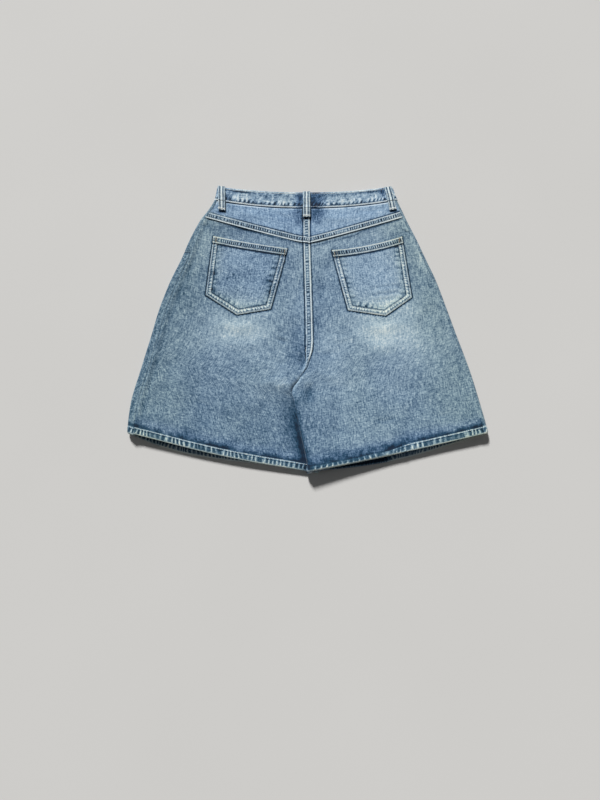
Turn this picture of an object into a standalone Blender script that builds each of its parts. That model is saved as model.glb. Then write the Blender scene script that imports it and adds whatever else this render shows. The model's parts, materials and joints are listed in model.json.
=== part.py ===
"""Wide-leg denim shorts laid face down, back upwards, on a flat surface.

Lengths in the tables are in centimetres and heights above the surface in millimetres, as a tailor
and a cloth gauge would give them. While the pieces are shaped, x = 0 is the middle of the waist and
y = 0 the lowest point of the hem; at the end everything moves so that the origin is under the middle
of the whole garment. Left and right are the wearer's, and the wearer's left is at -X.
"""

import math
from collections import namedtuple

import bmesh
import bpy
from mathutils import Vector

CM = 0.01
MM = 0.001
LEFT, RIGHT = -1, 1

NAME = "denim_shorts"
DENIM = (0.17, 0.28, 0.42, 0.9, 0.0)    # red, green, blue, roughness, metallic
BRASS = (0.55, 0.42, 0.22, 0.35, 1.0)

# Cloth and sewing
CLOTH = 1.2 * MM            # one layer of denim
HEM_CLOTH = 2.4 * MM        # a hem, turned twice
HEM_DEPTH = 1.2 * CM
BAND_CLOTH = 2.6 * MM       # the waistband, folded with the panels' edges inside
LOOP_CLOTH = 2.4 * MM       # a belt loop, folded in three
SEAM_GAP = 0.3 * MM         # between pieces that a seam joins
LAY_GAP = 0.3 * MM          # between pieces that lie on each other
SEAM_CLEAR = 1.5 * MM       # the side seams keep this far off the fold at the edge

# Outline
HALF_HEM = 31.0 * CM
HEM_RISE = 6.8 * CM         # the hem's corners above its lowest point
CROTCH = 14.6 * CM
CROTCH_SIDE = 21.0 * CM     # where the row through the crotch meets the sides
YOKE_CENTRE = 44.2 * CM
YOKE_SIDE = 49.8 * CM
BAND_CENTRE = 50.5 * CM     # lower edge of the waistband, at the centre back
BAND_SIDE = 52.3 * CM
BAND_TOP_CENTRE = 53.6 * CM
BAND_TOP_SIDE = 54.9 * CM
HALF_WAIST = 17.0 * CM
ROW_CURVE = 1.08            # how the rows rise to the sides: 1 is straight
LOW_CURVE = 2.2
HIGH_CURVE = 2.0
FRONT_DIP = 1.5 * CM        # the front waist is this much lower than the back one
FRONT_HEM_BOW = {LEFT: 1.2 * CM, RIGHT: 0.9 * CM}   # the front hems hang below the back ones
BACK_HEM_BOW = {LEFT: 0.4 * CM, RIGHT: 0.0}
FRONT_BOW_AT = {LEFT: 0.68, RIGHT: 0.5}     # share of the leg's width where they hang lowest
BACK_BOW_AT = 0.5

# The outline: the sides' distance from the middle at each height, and how far in the side seams lie
Side = namedtuple("Side", "height left right seam_left seam_right")
SIDES = [
    Side(6.8, 31.0, 31.0, 1.2, 0.7),
    Side(9.0, 31.1, 30.7, 1.3, 0.6),
    Side(13.0, 30.8, 29.9, 1.4, 0.5),
    Side(18.0, 29.7, 28.8, 1.4, 0.5),
    Side(25.0, 28.1, 26.8, 1.4, 0.5),
    Side(30.0, 27.0, 25.4, 1.4, 0.5),
    Side(35.5, 25.3, 23.8, 1.4, 0.5),
    Side(40.0, 23.5, 22.1, 1.3, 0.5),
    Side(44.0, 22.1, 20.6, 1.0, 0.5),
    Side(48.0, 20.3, 18.9, 0.6, 0.5),
    Side(50.0, 18.9, 18.1, 0.5, 0.5),
    Side(52.3, 17.7, 17.2, 0.5, 0.5),
    Side(54.9, 17.2, 16.4, 0.5, 0.5),
]

# The middle: the inner edge of each leg below the crotch, and the centre seam above it
Centre = namedtuple("Centre", "height left right")
CENTRES = [
    Centre(0.0, 1.8, -0.1),
    Centre(3.0, 1.3, -0.7),
    Centre(6.0, 0.3, -1.3),
    Centre(9.0, -1.2, -1.8),
    Centre(11.0, -2.1, -2.1),
    Centre(12.5, -2.35, -2.35),
    Centre(14.6, -2.75, -2.75),
    Centre(16.5, -1.5, -1.5),
    Centre(18.5, -0.4, -0.4),
    Centre(22.0, 0.25, 0.25),
    Centre(26.0, 0.3, 0.3),
    Centre(35.0, 0.1, 0.1),
    Centre(44.0, -0.1, -0.1),
    Centre(55.0, -0.1, -0.1),
]

# How high the back lies above the surface, from hem (0) to waist (1), at each half's outer edge, middle
# and inner edge; and how high the right leg's inner edge is held up by the left leg under it
Lie = namedtuple("Lie", "share left_edge left_mid left_inner right_inner right_mid right_edge lift")
LIES = [
    Lie(0.00, 13.5, 10.0, 7.0, 21.0, 12.0, 13.0, 7.6),
    Lie(0.05, 12.2, 9.6, 6.2, 18.5, 10.5, 11.5, 6.8),
    Lie(0.12, 10.0, 8.0, 5.6, 15.0, 8.6, 10.0, 6.2),
    Lie(0.20, 9.0, 7.2, 5.6, 12.5, 7.4, 9.0, 6.2),
    Lie(0.24, 8.5, 7.0, 6.6, 10.5, 7.2, 8.5, 3.2),
    Lie(0.27, 8.5, 7.0, 8.5, 8.5, 7.0, 8.5, 0.0),
    Lie(0.34, 8.5, 7.0, 8.5, 8.5, 7.0, 8.5, 0.0),
    Lie(0.50, 8.5, 7.0, 8.0, 8.0, 7.0, 8.5, 0.0),
    Lie(0.68, 9.0, 7.5, 8.0, 8.0, 7.5, 9.0, 0.0),
    Lie(0.82, 10.0, 9.5, 9.8, 9.8, 9.5, 10.0, 0.0),
    Lie(0.93, 12.0, 12.4, 13.0, 13.0, 12.4, 12.0, 0.0),
    Lie(1.00, 12.4, 12.8, 13.4, 13.4, 12.8, 12.4, 0.0),
]
LIFT_FADE = 3.5 * CM        # the right leg comes down to the surface over this width
PANEL_REST = 4.2 * MM       # the front panels' height at the waistband, above what lies under it
PANEL_RAMP = 7.0 * CM       # they come down to the surface over this length
INNER_FOLD = 3.5 * MM       # half the breadth of a leg's inner fold
CROTCH_FOLD = 8.0 * MM
INSEAM_UNDER = 4.0 * MM     # how far under the leg the inner seam lies
INSEAM_PAST = 3.0 * MM      # the front panel runs level this far past it
FORK_LENGTH = 3.0 * CM      # below the crotch, the legs' edges close and separate over this length
CROTCH_GAP = 0.9 * MM      # and the gap between them is this much wider there
SEAT_LENGTH = 4.0 * CM      # above it, the centre seam comes up to the cloth's height over this one

# Front pockets: the scoop is a part of an ellipse, and its facing reaches a little under the panel
SCOOP_X, SCOOP_Y = 20.5 * CM, 53.0 * CM
SCOOP_WIDE, SCOOP_DEEP = 11.0 * CM, 12.0 * CM
SCOOP_UNDER = 1.5 * CM
SCOOP_SIDES = 48
SCOOP_CUT = 10.0 * CM       # height of the cutter
FACING_LOW = 41.0 * CM

# Waistband, fly, button and belt loops
BAND_PROUD = 0.9 * MM       # the waistband stands this far above the panels
BAND_PAST = 0.6 * CM        # its outer end reaches past the centre front
BAND_UNDER = 3.4 * CM       # and its inner end reaches under it
BAND_STEP = 3.0 * MM        # between the outer end and where the inner end steps up over it
FLY_LOW = 33.0 * CM
FLY_WIDE = 3.4 * CM
FLY_PAST = 0.6 * CM
BUTTON_X, BUTTON_Y = -1.2 * CM, 50.6 * CM
BUTTONHOLE = 1.4 * CM
SHANK = 3.0 * MM
CAP_RADIUS = 8.5 * MM
CAP_THICK = 2.4 * MM
CAP_DISH = 0.9 * MM         # height of the cap's sloping rim
CAP_RIM = 1.2 * MM          # and its breadth
CAP_BEVEL = 0.6 * MM
LOOP_WIDE = 1.4 * CM
LOOP_BELOW = 2.2 * CM       # the loops end below the waistband
LOOP_EASE = 1.0 * MM        # and stand this far off its middle

# Columns of faces, set closer together near the middle of the front
INNER_CROWDING = 1.4
FOLD_COLUMNS = 7
WIDE_COLUMNS = 8
INNER_COLUMNS = 4
SIDE_COLUMNS = 8
YOKE_COLUMNS = 10
FACING_COLUMNS = 4
FLY_COLUMNS = 3
LOOP_COLUMNS = 3
POCKET_COLUMNS = 8

# Rows of faces, counted up the sides
LEG_ROWS = [0.0, 0.083, 0.087, 0.22, 0.36, 0.50, 0.64, 0.75, 0.86, 0.94, 1.0]
BODY_ROWS = [22.2, 23.8, 26.0, 30.0, 35.5, 41.5, 45.6, 49.8]
YOKE_ROWS = 3
BAND_ROWS = 3


def ease(t):
    t = min(max(t, 0.0), 1.0)
    return t * t * (3 - 2 * t)


def mix(a, b, t):
    return a + (b - a) * t


def read(rows, column, at):
    """The column's value at this place, on a smooth curve through the rows."""
    places = [row[0] for row in rows]
    values = [getattr(row, column) for row in rows]
    at = min(max(at, places[0]), places[-1])
    i = max(k for k in range(len(rows) - 1) if places[k] <= at)

    def slope(k):
        before, after = max(k - 1, 0), min(k + 1, len(rows) - 1)
        return (values[after] - values[before]) / (places[after] - places[before])

    step = places[i + 1] - places[i]
    t = (at - places[i]) / step
    return (
        (1 + 2 * t) * (1 - t) ** 2 * values[i]
        + t * (1 - t) ** 2 * step * slope(i)
        + t * t * (3 - 2 * t) * values[i + 1]
        - t * t * (1 - t) * step * slope(i + 1)
    )


def named(side):
    return "left" if side == LEFT else "right"


def edge_x(side, y):
    return side * CM * read(SIDES, named(side), y / CM)


def inner_x(side, y):
    return CM * read(CENTRES, named(side), y / CM) + side * SEAM_GAP / 2


def waist(x, centre, side, power, front=False):
    """Height of a line round the waist. The front's hangs lower at the middle."""
    out = min(abs(x) / HALF_WAIST, 1)
    return mix(centre, side, out ** power) - (FRONT_DIP * (1 - out**2) ** 2 if front else 0)


def band_low(x, front=False):
    return waist(x, BAND_CENTRE, BAND_SIDE, LOW_CURVE, front)


def band_high(x, front=False):
    return waist(x, BAND_TOP_CENTRE, BAND_TOP_SIDE, HIGH_CURVE, front)


def back_height(side, x, y):
    """Height of the back's outer face."""
    low = HEM_RISE * min(abs(x) / HALF_HEM, 1)
    share = (y - low) / (band_high(x) - low)
    inner, edge = inner_x(side, y), edge_x(side, y)
    out = min(max((x - inner) / (edge - inner), 0), 1)
    name = named(side)
    at_edge, at_mid, at_inner = (
        MM * read(LIES, name + place, share) for place in ("_edge", "_mid", "_inner")
    )
    return (
        at_inner * (1 - out) * (1 - 2 * out)
        + at_mid * 4 * out * (1 - out)
        + at_edge * out * (2 * out - 1)
    )


def front_height(side, x, y):
    """Height of the front's outer face, which faces down."""
    rest = PANEL_REST * ease(1 - (band_low(x, front=True) - y) / PANEL_RAMP)
    if side == LEFT or y > CROTCH:
        return rest
    low = HEM_RISE * min(abs(x) / HALF_HEM, 1)
    lift = MM * max(read(LIES, "lift", (y - low) / (band_high(x) - low)), 0)
    clear = x - inner_x(LEFT, y) - INNER_FOLD
    return rest + lift * (1 - ease(clear / LIFT_FADE))


def bowed(out, peak):
    """A bow's share of its depth: nothing at both ends and all of it at the peak."""
    rise, fall = 4 * peak, 4 * (1 - peak)
    return out**rise * (1 - out) ** fall / (peak**rise * (1 - peak) ** fall)


class Row:
    """One line across half of the garment, from the middle to the side."""

    def __init__(self, side, y_in, y_out, bow=0.0, bow_at=BACK_BOW_AT, power=ROW_CURVE, dip=0.0):
        self.side, self.y_in, self.y_out = side, y_in, y_out
        self.bow, self.bow_at, self.power, self.dip = bow, bow_at, power, dip
        self.x_in, self.x_out = inner_x(side, y_in - dip), edge_x(side, y_out)
        self.width = abs(self.x_out - self.x_in)
        self.forked = y_in < CROTCH

    def at(self, inwards):
        """x and y at this distance from the middle."""
        out = min(max(inwards / self.width, 0), 1)
        y = mix(self.y_in, self.y_out, out ** self.power)
        y -= self.dip * (1 - out**2) ** 2 + self.bow * bowed(out, self.bow_at)
        return self.x_in + self.side * inwards, y

    def on_back(self, inwards, inset=0.0):
        x, y = self.at(inwards)
        return Vector((x, y, back_height(self.side, x, y) - inset))

    def on_front(self, inwards, inset=0.0):
        x, y = self.at(inwards)
        return Vector((x, y, front_height(self.side, x, y) + inset))

    def fold(self, outer):
        """Reach, and length from the fold's middle to its end, at the outer or inner edge."""
        inwards = self.width if outer else 0
        half = (self.on_back(inwards).z - self.on_front(inwards).z) / 2
        if outer:
            reach = half
        else:
            reach = mix(CROTCH_FOLD, INNER_FOLD, ease((CROTCH - self.y_in) / FORK_LENGTH))
        return reach, math.pi / 2 * math.hypot(reach, half) / math.sqrt(2)

    def on_fold(self, outer, length, inset=0.0):
        """A point this far round a fold: positive lengths run to the top, negative ones under the cloth."""
        reach, quarter = self.fold(outer)
        turn = max(min(length / quarter, 1), -1) * math.pi / 2
        past = max(abs(length) - quarter, 0)
        inwards = inset + (reach - inset) * (1 - math.cos(turn)) + past
        if outer:
            inwards = self.width - inwards
        low, high = self.on_front(inwards, inset), self.on_back(inwards, inset)
        wall = high if length > 0 else low
        point = ((low + high) / 2).lerp(wall, abs(math.sin(turn)))
        if not outer and not self.forked:
            point = point.lerp(wall, ease((self.y_in - CROTCH) / SEAT_LENGTH))
        return point

    def inseam(self):
        """How far round the inner fold its seam lies: midway at the crotch, and under the leg below it."""
        return -(self.fold(False)[1] + INSEAM_UNDER) * ease((CROTCH - self.y_in) / FORK_LENGTH)

    def inseam_gap(self):
        """Half the gap at the inner seam, wider at the crotch, where the cloth turns sharply."""
        return SEAM_GAP / 2 + CROTCH_GAP * ease(1 - abs(self.y_in - CROTCH) / FORK_LENGTH)

    def side_seam(self):
        """How far in from the side its seam lies, on the back."""
        inwards = CM * read(SIDES, "seam_" + named(self.side), self.y_out / CM)
        return max(inwards, self.fold(True)[0] + SEAM_CLEAR)


def leg_rows(side, front):
    bow, bow_at = (FRONT_HEM_BOW[side], FRONT_BOW_AT[side]) if front else (BACK_HEM_BOW[side], BACK_BOW_AT)
    for t in LEG_ROWS:
        yield Row(side, CROTCH * t, mix(HEM_RISE, CROTCH_SIDE, t), bow * (1 - t), bow_at)


def body_rows(side, front):
    for height in BODY_ROWS:
        t = (height * CM - CROTCH_SIDE) / (YOKE_SIDE - CROTCH_SIDE)
        dip = FRONT_DIP * 0.8 * t * t if front else 0
        yield Row(side, mix(CROTCH, YOKE_CENTRE, t), height * CM, dip=dip)


def yoke_rows(side, front):
    start = 1 if front else 0
    for i in range(start, YOKE_ROWS + 1):
        t = i / YOKE_ROWS
        dip = FRONT_DIP * mix(0.8, 1, t) if front else 0
        gap = 0 if i else SEAM_GAP
        y_in, y_out = mix(YOKE_CENTRE, BAND_CENTRE, t) + gap, mix(YOKE_SIDE, BAND_SIDE, t) + gap
        yield Row(side, y_in, y_out, power=mix(ROW_CURVE, LOW_CURVE, t), dip=dip)


def band_rows(side, front):
    dip = FRONT_DIP if front else 0
    for i in range(BAND_ROWS + 1):
        t = i / BAND_ROWS
        gap = SEAM_GAP * (1 - t)
        y_in = mix(BAND_CENTRE, BAND_TOP_CENTRE, t) + gap
        y_out = mix(BAND_SIDE, BAND_TOP_SIDE, t) + gap
        yield Row(side, y_in, y_out, power=mix(LOW_CURVE, HIGH_CURVE, t), dip=dip)


# ---------------------------------------------------------------- making the pieces


def paint(piece, colour):
    material = bpy.data.materials.new(piece.name)
    material.use_nodes = True
    shader = material.node_tree.nodes["Principled BSDF"]
    shader.inputs["Base Color"].default_value = (*colour[:3], 1)
    shader.inputs["Roughness"].default_value = colour[3]
    shader.inputs["Metallic"].default_value = colour[4]
    material.diffuse_color = (*colour[:3], 1)
    piece.data.materials.append(material)


def add_piece(name, bm, colour, collection=NAME):
    mesh = bpy.data.meshes.new(name)
    bm.to_mesh(mesh)
    bm.free()
    piece = bpy.data.objects.new(name, mesh)
    bpy.data.collections[collection].objects.link(piece)
    piece.parent = bpy.data.objects[NAME + "_origin"]
    paint(piece, colour)
    return piece


def sheet(name, place, columns, rows, wall, colour, thick=None, flip=False, outwards=False):
    """A grid of faces put in place by place(column, row), with a wall grown from its outer face.
    thick(column, row) is the share of the wall's thickness there."""
    bm = bmesh.new()
    bmesh.ops.create_grid(bm, x_segments=columns, y_segments=rows, size=0.5)
    shares = []
    for vertex in bm.verts:
        i, j = round((vertex.co.x + 0.5) * columns), round((vertex.co.y + 0.5) * rows)
        vertex.co = place(i, j)
        shares.append(thick(i, j) if thick else 1.0)
    if flip:
        bmesh.ops.reverse_faces(bm, faces=bm.faces)
    piece = add_piece(name, bm, colour)
    modifier = piece.modifiers.new("wall", "SOLIDIFY")
    modifier.thickness = wall
    modifier.offset = 1 if outwards else -1
    modifier.use_even_offset = True
    if thick:
        group = piece.vertex_groups.new(name="thick")
        for index, share in enumerate(shares):
            group.add([index], share, "REPLACE")
        modifier.vertex_group = group.name
    return piece


def hem_share(_, row):
    """Panels are cloth thick above the hem and hem thick in it."""
    return 1.0 if LEG_ROWS[min(row, len(LEG_ROWS) - 1)] <= HEM_DEPTH / CROTCH + 0.002 else CLOTH / HEM_CLOTH


def make_back_panel(side):
    rows = list(leg_rows(side, False)) + list(body_rows(side, False))

    def place(i, j):
        row = rows[j]
        reach, quarter = row.fold(False)
        if i <= FOLD_COLUMNS:
            start = row.inseam() + row.inseam_gap()
            return row.on_fold(False, mix(start, quarter, i / FOLD_COLUMNS))
        stop = row.width - row.side_seam() - SEAM_GAP / 2
        return row.on_back(mix(reach, stop, (i - FOLD_COLUMNS) / WIDE_COLUMNS))

    columns = FOLD_COLUMNS + WIDE_COLUMNS
    sheet("back_panel_" + named(side), place, columns, len(rows) - 1, HEM_CLOTH, DENIM, hem_share, side == LEFT)


def make_front_panel(side):
    rows = [row for part in (leg_rows, body_rows, yoke_rows) for row in part(side, True)]
    wide = INNER_COLUMNS + WIDE_COLUMNS

    def place(i, j):
        row = rows[j]
        inner, outer = row.fold(False), row.fold(True)
        under = INSEAM_UNDER + INSEAM_PAST
        if side == RIGHT:
            under += max(inner_x(LEFT, row.y_in) - row.x_in, 0)
        if i <= INNER_COLUMNS:
            start = row.inseam() - row.inseam_gap()
            return row.on_fold(False, mix(start, -inner[1] - under, i / INNER_COLUMNS))
        if i <= wide:
            share = ((i - INNER_COLUMNS) / WIDE_COLUMNS) ** INNER_CROWDING
            return row.on_front(mix(inner[0] + under, row.width - outer[0], share))
        stop = outer[1] + row.side_seam() - outer[0] - SEAM_GAP / 2
        return row.on_fold(True, mix(-outer[1], stop, (i - wide) / SIDE_COLUMNS))

    columns = wide + SIDE_COLUMNS
    name = "front_panel_" + named(side)
    panel = sheet(name, place, columns, len(rows) - 1, HEM_CLOTH, DENIM, hem_share, side == RIGHT)
    scoop = bmesh.new()
    bmesh.ops.create_cone(scoop, cap_ends=True, segments=SCOOP_SIDES, radius1=1, radius2=1, depth=1)
    bmesh.ops.scale(scoop, vec=(SCOOP_WIDE, SCOOP_DEEP, SCOOP_CUT), verts=scoop.verts)
    bmesh.ops.translate(scoop, vec=(side * SCOOP_X, SCOOP_Y, 0), verts=scoop.verts)
    cutter = add_piece("cutter_scoop_" + named(side), scoop, DENIM, "cutters")
    cut(panel, cutter)


def cut(piece, cutter):
    cutter.hide_render = True
    cutter.display_type = "WIRE"
    modifier = piece.modifiers.new("cut", "BOOLEAN")
    modifier.object = cutter
    modifier.operation = "DIFFERENCE"


def make_facing(side):
    """The cloth seen in the front pocket's scoop. Its edge lies under the front panel."""
    rows = [row for part in (body_rows, yoke_rows) for row in part(side, True) if row.y_out >= FACING_LOW]
    across = FACING_COLUMNS + SIDE_COLUMNS

    def place(i, j):
        row = rows[j]
        reach, quarter = row.fold(True)
        down = max(1 - ((SCOOP_Y - row.y_out) / (SCOOP_DEEP + SCOOP_UNDER)) ** 2, 0)
        inner = SCOOP_X - (SCOOP_WIDE + SCOOP_UNDER) * math.sqrt(down)
        if i <= FACING_COLUMNS:
            inwards = mix(inner, row.width - reach, i / FACING_COLUMNS)
            point = row.on_front(inwards, CLOTH + LAY_GAP)
        else:
            stop = quarter + row.side_seam() - reach - SEAM_GAP / 2
            length = mix(-quarter, stop, (i - FACING_COLUMNS) / SIDE_COLUMNS)
            point = row.on_fold(True, length, CLOTH + LAY_GAP)
        point.y -= LAY_GAP
        return point

    sheet("front_facing_" + named(side), place, across, len(rows) - 1, CLOTH, DENIM, flip=side == RIGHT)


def make_yoke(side):
    rows = list(yoke_rows(side, False))

    def place(i, j):
        row = rows[j]
        return row.on_back(mix(0, row.width - row.side_seam() - SEAM_GAP / 2, i / YOKE_COLUMNS))

    sheet("back_yoke_" + named(side), place, YOKE_COLUMNS, YOKE_ROWS, CLOTH, DENIM, flip=side == LEFT)


def make_fly_shield():
    """Lies behind the front opening, on the inside of the front panels."""
    rows = [row for part in (body_rows, yoke_rows) for row in part(LEFT, True) if row.y_in >= FLY_LOW]
    right = [row for part in (body_rows, yoke_rows) for row in part(RIGHT, True) if row.y_in >= FLY_LOW]

    def place(i, j):
        inwards = mix(-FLY_PAST, FLY_WIDE, i / FLY_COLUMNS)
        row = rows[j] if inwards > 0 else right[j]
        return row.on_front(abs(inwards), CLOTH + LAY_GAP)

    sheet("fly_shield", place, FLY_COLUMNS, len(rows) - 1, CLOTH, DENIM)


def make_waistband():
    """One strip: from its outer end at the centre front round the wearer's left side, the back and the
    right side, and over the outer end on the inside."""
    backs = {side: list(band_rows(side, False)) for side in (LEFT, RIGHT)}
    fronts = {side: list(band_rows(side, True)) for side in (LEFT, RIGHT)}
    stops = [("front", RIGHT, BAND_PAST, 0)]
    stops += [("front", LEFT, 0, t) for t in (0, 0.2, 0.4, 0.6, 0.8, 1)]
    stops += [("fold", LEFT, mix(-1, 1, t), 0) for t in (0.17, 0.33, 0.5, 0.67, 0.83)]
    stops += [("back", LEFT, 0, t) for t in (1, 0.85, 0.7, 0.55, 0.4, 0.25, 0.12, 0)]
    stops += [("back", RIGHT, 0, t) for t in (0.12, 0.25, 0.4, 0.55, 0.7, 0.85, 1)]
    stops += [("fold", RIGHT, mix(1, -1, t), 0) for t in (0.17, 0.33, 0.5, 0.67, 0.83)]
    stops += [("front", RIGHT, 0, t) for t in (1, 0.8, 0.6, 0.4, 0.2)]
    stops += [("inside", RIGHT, BAND_PAST + BAND_STEP, 0), ("inside", LEFT, 0, 0), ("inside", LEFT, BAND_UNDER, 0)]

    def place(i, j):
        kind, side, length, share = stops[i]
        front, back = fronts[side][j], backs[side][j]
        reach, quarter = back.fold(True)
        flat = back.width - reach
        if kind == "front":
            return front.on_front(length + share * flat, -BAND_PROUD)
        if kind == "back":
            return back.on_back(share * flat, -BAND_PROUD)
        if kind == "inside":
            return front.on_front(length, BAND_CLOTH + LAY_GAP - BAND_PROUD)
        return back.on_fold(True, length * quarter, -BAND_PROUD)

    band = sheet("waistband", place, len(stops) - 1, BAND_ROWS, BAND_CLOTH, DENIM)
    hole = bmesh.new()
    bmesh.ops.create_cube(hole, size=1)
    deep = BAND_CLOTH + LAY_GAP
    bmesh.ops.scale(hole, vec=(BUTTONHOLE, 2 * (SHANK + SEAM_GAP), deep), verts=hole.verts)
    middle = (BUTTON_X, BUTTON_Y, PANEL_REST - BAND_PROUD + BAND_CLOTH / 2)
    bmesh.ops.translate(hole, vec=middle, verts=hole.verts)
    cut(band, add_piece("cutter_buttonhole", hole, DENIM, "cutters"))


def make_button():
    """A turned cap below the waistband, with its shank through the buttonhole."""
    shank_top = PANEL_REST - BAND_PROUD + BAND_CLOTH
    profile = [
        (0, shank_top),
        (SHANK, shank_top),
        (SHANK, CAP_THICK),
        (CAP_RADIUS - CAP_BEVEL, CAP_THICK),
        (CAP_RADIUS, CAP_THICK - CAP_BEVEL),
        (CAP_RADIUS, CAP_DISH),
        (CAP_RADIUS - CAP_RIM, 0),
        (0, 0),
    ]
    bm = bmesh.new()
    points = [bm.verts.new((x, 0, z)) for x, z in profile]
    for a, b in zip(points, points[1:]):
        bm.edges.new((a, b))
    button = add_piece("button", bm, BRASS)
    button.location = (BUTTON_X, BUTTON_Y, 0)
    turn = button.modifiers.new("turn", "SCREW")
    turn.steps = turn.render_steps = 24
    turn.use_merge_vertices = True
    turn.merge_threshold = 1e-5
    turn.use_smooth_shade = False


def skin(x, y, front, on_band):
    """Height of the outer face of the panel, yoke or waistband at x, y, also on a side's round."""
    side = LEFT if x < 0 else RIGHT
    low, high = front_height(side, x, y), back_height(side, x, y)
    proud = BAND_PROUD if on_band else 0
    reach = (high - low) / 2 + proud
    from_edge = abs(edge_x(side, y)) - abs(x) + proud
    turn = math.sqrt(max(1 - max(1 - from_edge / reach, 0) ** 2, 0))
    wall = low - proud if front else high + proud
    return mix((low + high) / 2, wall, turn)


# A place along a belt loop: up the waistband (0 to 1), past that, off what it lies on, share of its wall
LoopStop = namedtuple("LoopStop", "up past lift thick")


def make_loop(name, x_low, x_high, front=False):
    """A strip sewn at both ends over the waistband, and turned over its upper edge."""
    rows = {side: list(band_rows(side, front)) for side in (LEFT, RIGHT)}
    away = -1 if front else 1
    stops = [
        LoopStop(0, -LOOP_BELOW, 0, 1.0),
        LoopStop(0, -LOOP_BELOW + 6 * MM, 0, 1.0),
        LoopStop(0, -LOOP_BELOW + 8 * MM, 0.2 * MM, 0.8),
        LoopStop(0, -5 * MM, BAND_PROUD, 0.8),
        LoopStop(0, 4 * MM, LOOP_EASE / 2, 0.8),
        LoopStop(0.5, 0, LOOP_EASE, 0.8),
        LoopStop(1, -5 * MM, LOOP_EASE / 2, 0.8),
        LoopStop(1, LAY_GAP + 0.2 * MM, 0.2 * MM, 0.8),
        LoopStop(1, LAY_GAP + 0.2 * MM, -2.2 * MM, 0.8),
    ]

    def place(i, j):
        stop = stops[j]
        t = j / (len(stops) - 1)
        x = mix(x_low, x_high, t) + LOOP_WIDE * (i / LOOP_COLUMNS - 0.5)
        lower, upper = (rows[LEFT if x < 0 else RIGHT][k] for k in (0, -1))
        low, high = (row.at(abs(x - row.x_in))[1] for row in (lower, upper))
        y = mix(low, high, stop.up) + stop.past
        on = skin(x, min(y, high - LAY_GAP), front, y > low - 3 * MM)
        return Vector((x, y, on + away * (LAY_GAP + stop.lift)))

    sheet(name, place, LOOP_COLUMNS, len(stops) - 1, LOOP_CLOTH, DENIM,
          lambda i, j: stops[j].thick, flip=front, outwards=True)


Pocket = namedtuple("Pocket", "side outer_top inner_top outer_low tip inner_low top_bow")
POCKETS = [
    Pocket(LEFT, (-17.6, 44.5), (-3.7, 41.9), (-18.6, 32.6), (-12.8, 28.7), (-6.7, 29.8), 0.1),
    Pocket(RIGHT, (17.8, 44.4), (4.6, 41.6), (19.1, 32.1), (14.2, 28.5), (7.4, 29.6), 0.45),
]
POCKET_ROWS = [0.0, 0.16, 0.33, 0.5, 0.67, 0.84, 0.93, 0.935, 1.0]


def make_pocket(pocket):
    half = POCKET_COLUMNS // 2
    corners = [Vector(corner) * CM for corner in pocket[1:6]]
    outer_top, inner_top, outer_low, tip, inner_low = corners

    def place(i, j):
        low = outer_low.lerp(tip, i / half) if i <= half else tip.lerp(inner_low, i / half - 1)
        across = i / POCKET_COLUMNS
        high = outer_top.lerp(inner_top, across)
        high.y -= pocket.top_bow * CM * 4 * across * (1 - across)
        x, y = low.lerp(high, POCKET_ROWS[j])
        return Vector((x, y, back_height(pocket.side, x, y) + LAY_GAP))

    sheet("back_pocket_" + named(pocket.side), place, POCKET_COLUMNS, len(POCKET_ROWS) - 1, HEM_CLOTH, DENIM,
          lambda i, j: 1.0 if j >= len(POCKET_ROWS) - 2 else CLOTH / HEM_CLOTH, pocket.side == RIGHT, True)


def centre_on_surface():
    """Moves the garment so that the origin is under the middle of it, on the surface."""
    bpy.context.view_layer.update()
    graph = bpy.context.evaluated_depsgraph_get()
    corners = [
        piece.evaluated_get(graph).matrix_world @ Vector(corner)
        for piece in bpy.data.collections[NAME].objects
        if piece.type == "MESH"
        for corner in piece.evaluated_get(graph).bound_box
    ]
    low = Vector(min(corner[k] for corner in corners) for k in range(3))
    high = Vector(max(corner[k] for corner in corners) for k in range(3))
    bpy.data.objects[NAME + "_origin"].location = (-(low.x + high.x) / 2, -(low.y + high.y) / 2, -low.z)
    bpy.context.view_layer.update()


def main():
    for old in list(bpy.data.objects):
        bpy.data.objects.remove(old, do_unlink=True)
    for collection in (NAME, "cutters"):
        bpy.context.scene.collection.children.link(bpy.data.collections.new(collection))
    origin = bpy.data.objects.new(NAME + "_origin", None)
    bpy.data.collections[NAME].objects.link(origin)
    for side in (LEFT, RIGHT):
        make_back_panel(side)
        make_front_panel(side)
        make_yoke(side)
        make_facing(side)
    for pocket in POCKETS:
        make_pocket(pocket)
    make_waistband()
    make_fly_shield()
    make_button()
    make_loop("belt_loop_back_centre", -0.1 * CM, -0.1 * CM)
    make_loop("belt_loop_back_left", -16.2 * CM, -16.4 * CM)
    make_loop("belt_loop_back_right", 16.3 * CM, 15.4 * CM)
    make_loop("belt_loop_front_left", -8.4 * CM, -8.4 * CM, front=True)
    make_loop("belt_loop_front_right", 8.4 * CM, 8.4 * CM, front=True)
    centre_on_surface()


main()
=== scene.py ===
"""Wide-leg denim shorts laid face down: cloth, seams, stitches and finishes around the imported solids.

Lengths are in centimetres until a piece is put in place. While the pieces are shaped, x = 0 is the
middle of the waist and y = 0 the lowest point of the hem, as in the source of the solids. Left and
right are the wearer's, and the wearer's left is at -X.
"""

import math
from collections import namedtuple
from functools import partialmethod

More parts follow.
